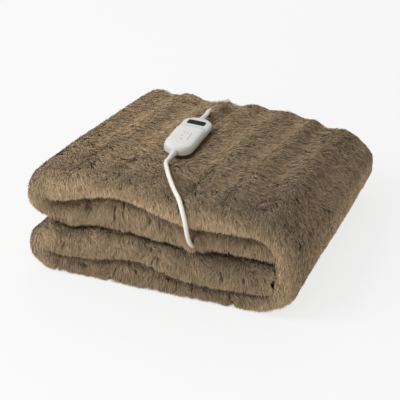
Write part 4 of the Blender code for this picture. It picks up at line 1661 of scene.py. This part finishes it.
        lift = -self.sink + self.tuft_lift * trait[:, 4] + self.hair_lift * draw.normal(size=count)
        lift = lift + self.burrow(at)
        steepness = np.clip(-normal[:, 1] * 1.3 - normal[:, 2] * 0.8, 0.0, 1.0)
        root = at - self.cloth.root_depth * normal
        rise = lift[:, None] * 0.6 - 0.0008
        middle = read(surface.points, bends) + unit(read(surface.normals, bends)) * rise
        tip = read(surface.points, tips) + unit(read(surface.normals, tips)) * lift[:, None]
        over = tips[:, :1] - np.clip(tips[:, :1], 0.0, surface.along[-1])
        tip = tip + over * unit(read(surface.by_along, tips))
        fall = unit(way * 0.7 + facing[:, None] * np.array([0.0, -0.22, -0.60]))
        hanging = at + fall * (self.lie * length)[:, None] + normal * lift[:, None]
        tip = tip + (hanging - tip) * (0.75 * smooth_step(steepness))[:, None]

        roll = (self.roll * draw.normal(size=count))[:, None]
        side = unit(np.cross(tip - root, normal))
        side = side * np.cos(roll) + normal * np.sin(roll)
        half = (self.hair_width / 2 * (0.65 + 0.7 * draw.random(count)))[:, None]
        corners = np.stack([root, middle - side * half, middle + side * half, tip], axis=1)
        flat = corners.reshape(-1, 3)
        flat = self.controller.tuck_under(flat)
        flat = self.clear_lead(flat, np.repeat(normal, 4, axis=0))
        flat[:, 2] = np.maximum(flat[:, 2], self.least_height)

        first = np.arange(count)[:, None] * 4
        faces = (first + np.array([0, 1, 2, 1, 3, 2])).reshape(-1, 3)
        side_on = np.cross(corners[:, 1] - corners[:, 0], corners[:, 2] - corners[:, 0])
        turned = np.repeat((side_on * normal).sum(axis=1) < 0.0, 2)
        faces[turned] = faces[turned][:, [0, 2, 1]]
        piece = link_mesh(patch.value, flat, faces, self.finish)
        self.map_tufts(piece, faces, self.shade_of(at, normal, spots[:, 0], fold, draw))
        piece.data.shade_smooth()
        return piece

    def shade_of(
        self, roots: Array, normal: Array, along: Array, fold: Array, draw: np.random.Generator
    ) -> Array:
        """Each hair's shade: random tone from locks, slow clouds and single hairs, painted light on rib
        crests, on the right side and on the first ply's front, and painted shade in rib troughs, on the top
        towards the right and on the other plies' fronts.

        Args:
            roots: (n, 3) places.
            normal: (n, 3) outward directions there.
            along: (n,) places along the section.
            fold: (n,) Fold numbers.
            draw: The random source.

        Returns:
            (n,) shades from 0 to 1.
        """
        clouds = SmoothNoise(self.seed + 7, 0.045)(roots)
        locks = SmoothNoise(self.seed + 8, 0.0075)(roots)
        shade = self.shade + self.clouds * clouds + self.locks * locks
        shade = shade + self.single * draw.normal(size=len(roots))
        # Painted light on the side that faces right, and painted shade on faces that look up right of x =
        # -0.08, deeper further right.
        upward = np.clip(normal[:, 2], 0.0, 1.0)
        rightward = np.maximum(roots[:, 0] + 0.08, 0.0)
        shade = shade + self.right_side_painted_light * np.clip(normal[:, 0], 0.0, 1.0) - 2.3 * upward * rightward
        # Painted shade in the rib troughs and painted light on their crests, fading out on faces turned down.
        ribs = np.cos(2.0 * math.pi * along / self.cloth.rib_pitch) * np.clip(normal[:, 2] + 0.4, 0.0, 1.0)
        # Painted light on the front of ply 1 and painted shade on the fronts of plies 2, 3 and 4.
        fronts = self.by_fold(self.FRONT_LIGHT_AND_SHADE, fold) * np.clip(-normal[:, 1], 0.0, 1.0)
        shade = shade - self.ribs * ribs + fronts
        return np.clip(shade, 0.0, 0.999)

    def map_tufts(self, piece: bpy.types.Object, faces: Array, shade: Array) -> None:
        """Lays each hair in its shade's strip of the map, root at the bottom and tip at the top.

        Args:
            piece: The joined hairs.
            faces: (m, 3) corners.
            shade: (n,) shades.
        """
        strip = np.floor(shade * self.shades)[:, None]
        across = (strip + np.array([0.5, 0.04, 0.96, 0.5])) / self.shades
        up = np.broadcast_to(np.array([0.01, 0.5, 0.5, 0.99]), across.shape)
        places = np.stack([across, up], axis=2).reshape(-1, 2)
        layer = piece.data.uv_layers.new(name=self.MAP)
        layer.data.foreach_set("uv", places[faces.ravel()].astype(np.float32).ravel())

    def build(self) -> list[bpy.types.Object]:
        """Grows all patches, each with its share of the hairs.

        Returns:
            The pieces of pile.
        """
        self.finish = PileFinish().material()
        patches = self.patches()
        area = {patch: float((self.surface.areas * cells).sum()) for patch, cells in patches.items()}
        weight = {patch: self.DENSITY[patch] * area[patch] for patch in patches}
        pieces = []
        for patch, cells in patches.items():
            count = int(self.hairs * weight[patch] / sum(weight.values()))
            pieces.append(self.grow(patch, cells, count))
            LOG.info("%s: %d hairs", patch.value, count)
        return pieces


# ---- Studio --------------------------------------------------------------------------------------------
@dataclass
class Studio:
    """Camera, floor and soft light."""

    lens: float = 142.6
    camera_at: Triple = (0.7318, -1.8389, 1.0560)
    camera_turns: Triple = (math.radians(63.0), 0.0, math.radians(22.2))
    sky: float = 0.58
    lamps: tuple[tuple[str, Triple, float, float], ...] = (
        ("key_light", (-1.6, -1.2, 2.0), 1.4, 44.0),
        ("front_light", (-0.6, -2.4, 0.9), 1.4, 19.0),
        ("rear_light", (-0.6, 2.2, 2.0), 1.8, 16.0),
    )

    def camera(self) -> None:
        """Sets the scene's camera."""
        data = bpy.data.cameras.new("studio_camera")
        data.lens = self.lens
        data.sensor_width = 36.0
        data.clip_end = 50.0
        camera = bpy.data.objects.new("studio_camera", data)
        camera.location = self.camera_at
        camera.rotation_euler = self.camera_turns
        bpy.context.scene.collection.objects.link(camera)
        bpy.context.scene.camera = camera

    def lamp(self, name: str, at: Triple, size: float, power: float) -> None:
        """A square soft light that faces the throw.

        Args:
            name: Its name.
            at: Where it hangs.
            size: Its side in metres.
            power: In watts.
        """
        data = bpy.data.lights.new(name, "AREA")
        data.size = size
        data.energy = power
        lamp = bpy.data.objects.new(name, data)
        lamp.location = at
        lamp.rotation_euler = (Vector((0.0, 0.0, 0.08)) - Vector(at)).to_track_quat("-Z", "Y").to_euler()
        bpy.context.scene.collection.objects.link(lamp)

    def build(self) -> None:
        """Sets up camera, sky, lamps and floor."""
        self.camera()
        bpy.context.scene.view_settings.view_transform = "Standard"
        world = bpy.data.worlds.new("studio_sky")
        world.use_nodes = True
        background = world.node_tree.nodes["Background"]
        background.inputs["Color"].default_value = (1.0, 1.0, 1.0, 1.0)
        background.inputs["Strength"].default_value = self.sky
        bpy.context.scene.world = world
        for name, at, size, power in self.lamps:
            self.lamp(name, at, size, power)
        corners = np.array([[-6.0, -6.0, 0.0], [6.0, -6.0, 0.0], [6.0, 6.0, 0.0], [-6.0, 6.0, 0.0]])
        floor = link_mesh("studio_floor", corners, np.array([[0, 1, 2, 3]]), LightTable().material())
        LOG.info("studio")


# ---- Whole throw ---------------------------------------------------------------------------------------
def main() -> None:
    """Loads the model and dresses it."""
    logging.basicConfig(level=logging.INFO, format="%(name)s %(message)s")
    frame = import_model()
    Studio().build()
    front_lead = BlanketLead().build()
    rear_lead = MainsLead().build(frame)
    controller = HandController()
    controller.build()
    cloth = FoldedCloth()
    backing = cloth.sheet(cloth.surface(step=0.0080))
    dress(backing, "pile", "blanket")
    shown, sunk = Burial().split(front_lead, rear_lead)
    pile = TuftedPile(cloth.surface(step=0.0035), cloth, controller, shown, sunk).build()
    for piece in pile:
        dress(piece, "pile")


if __name__ == "__main__":
    main()
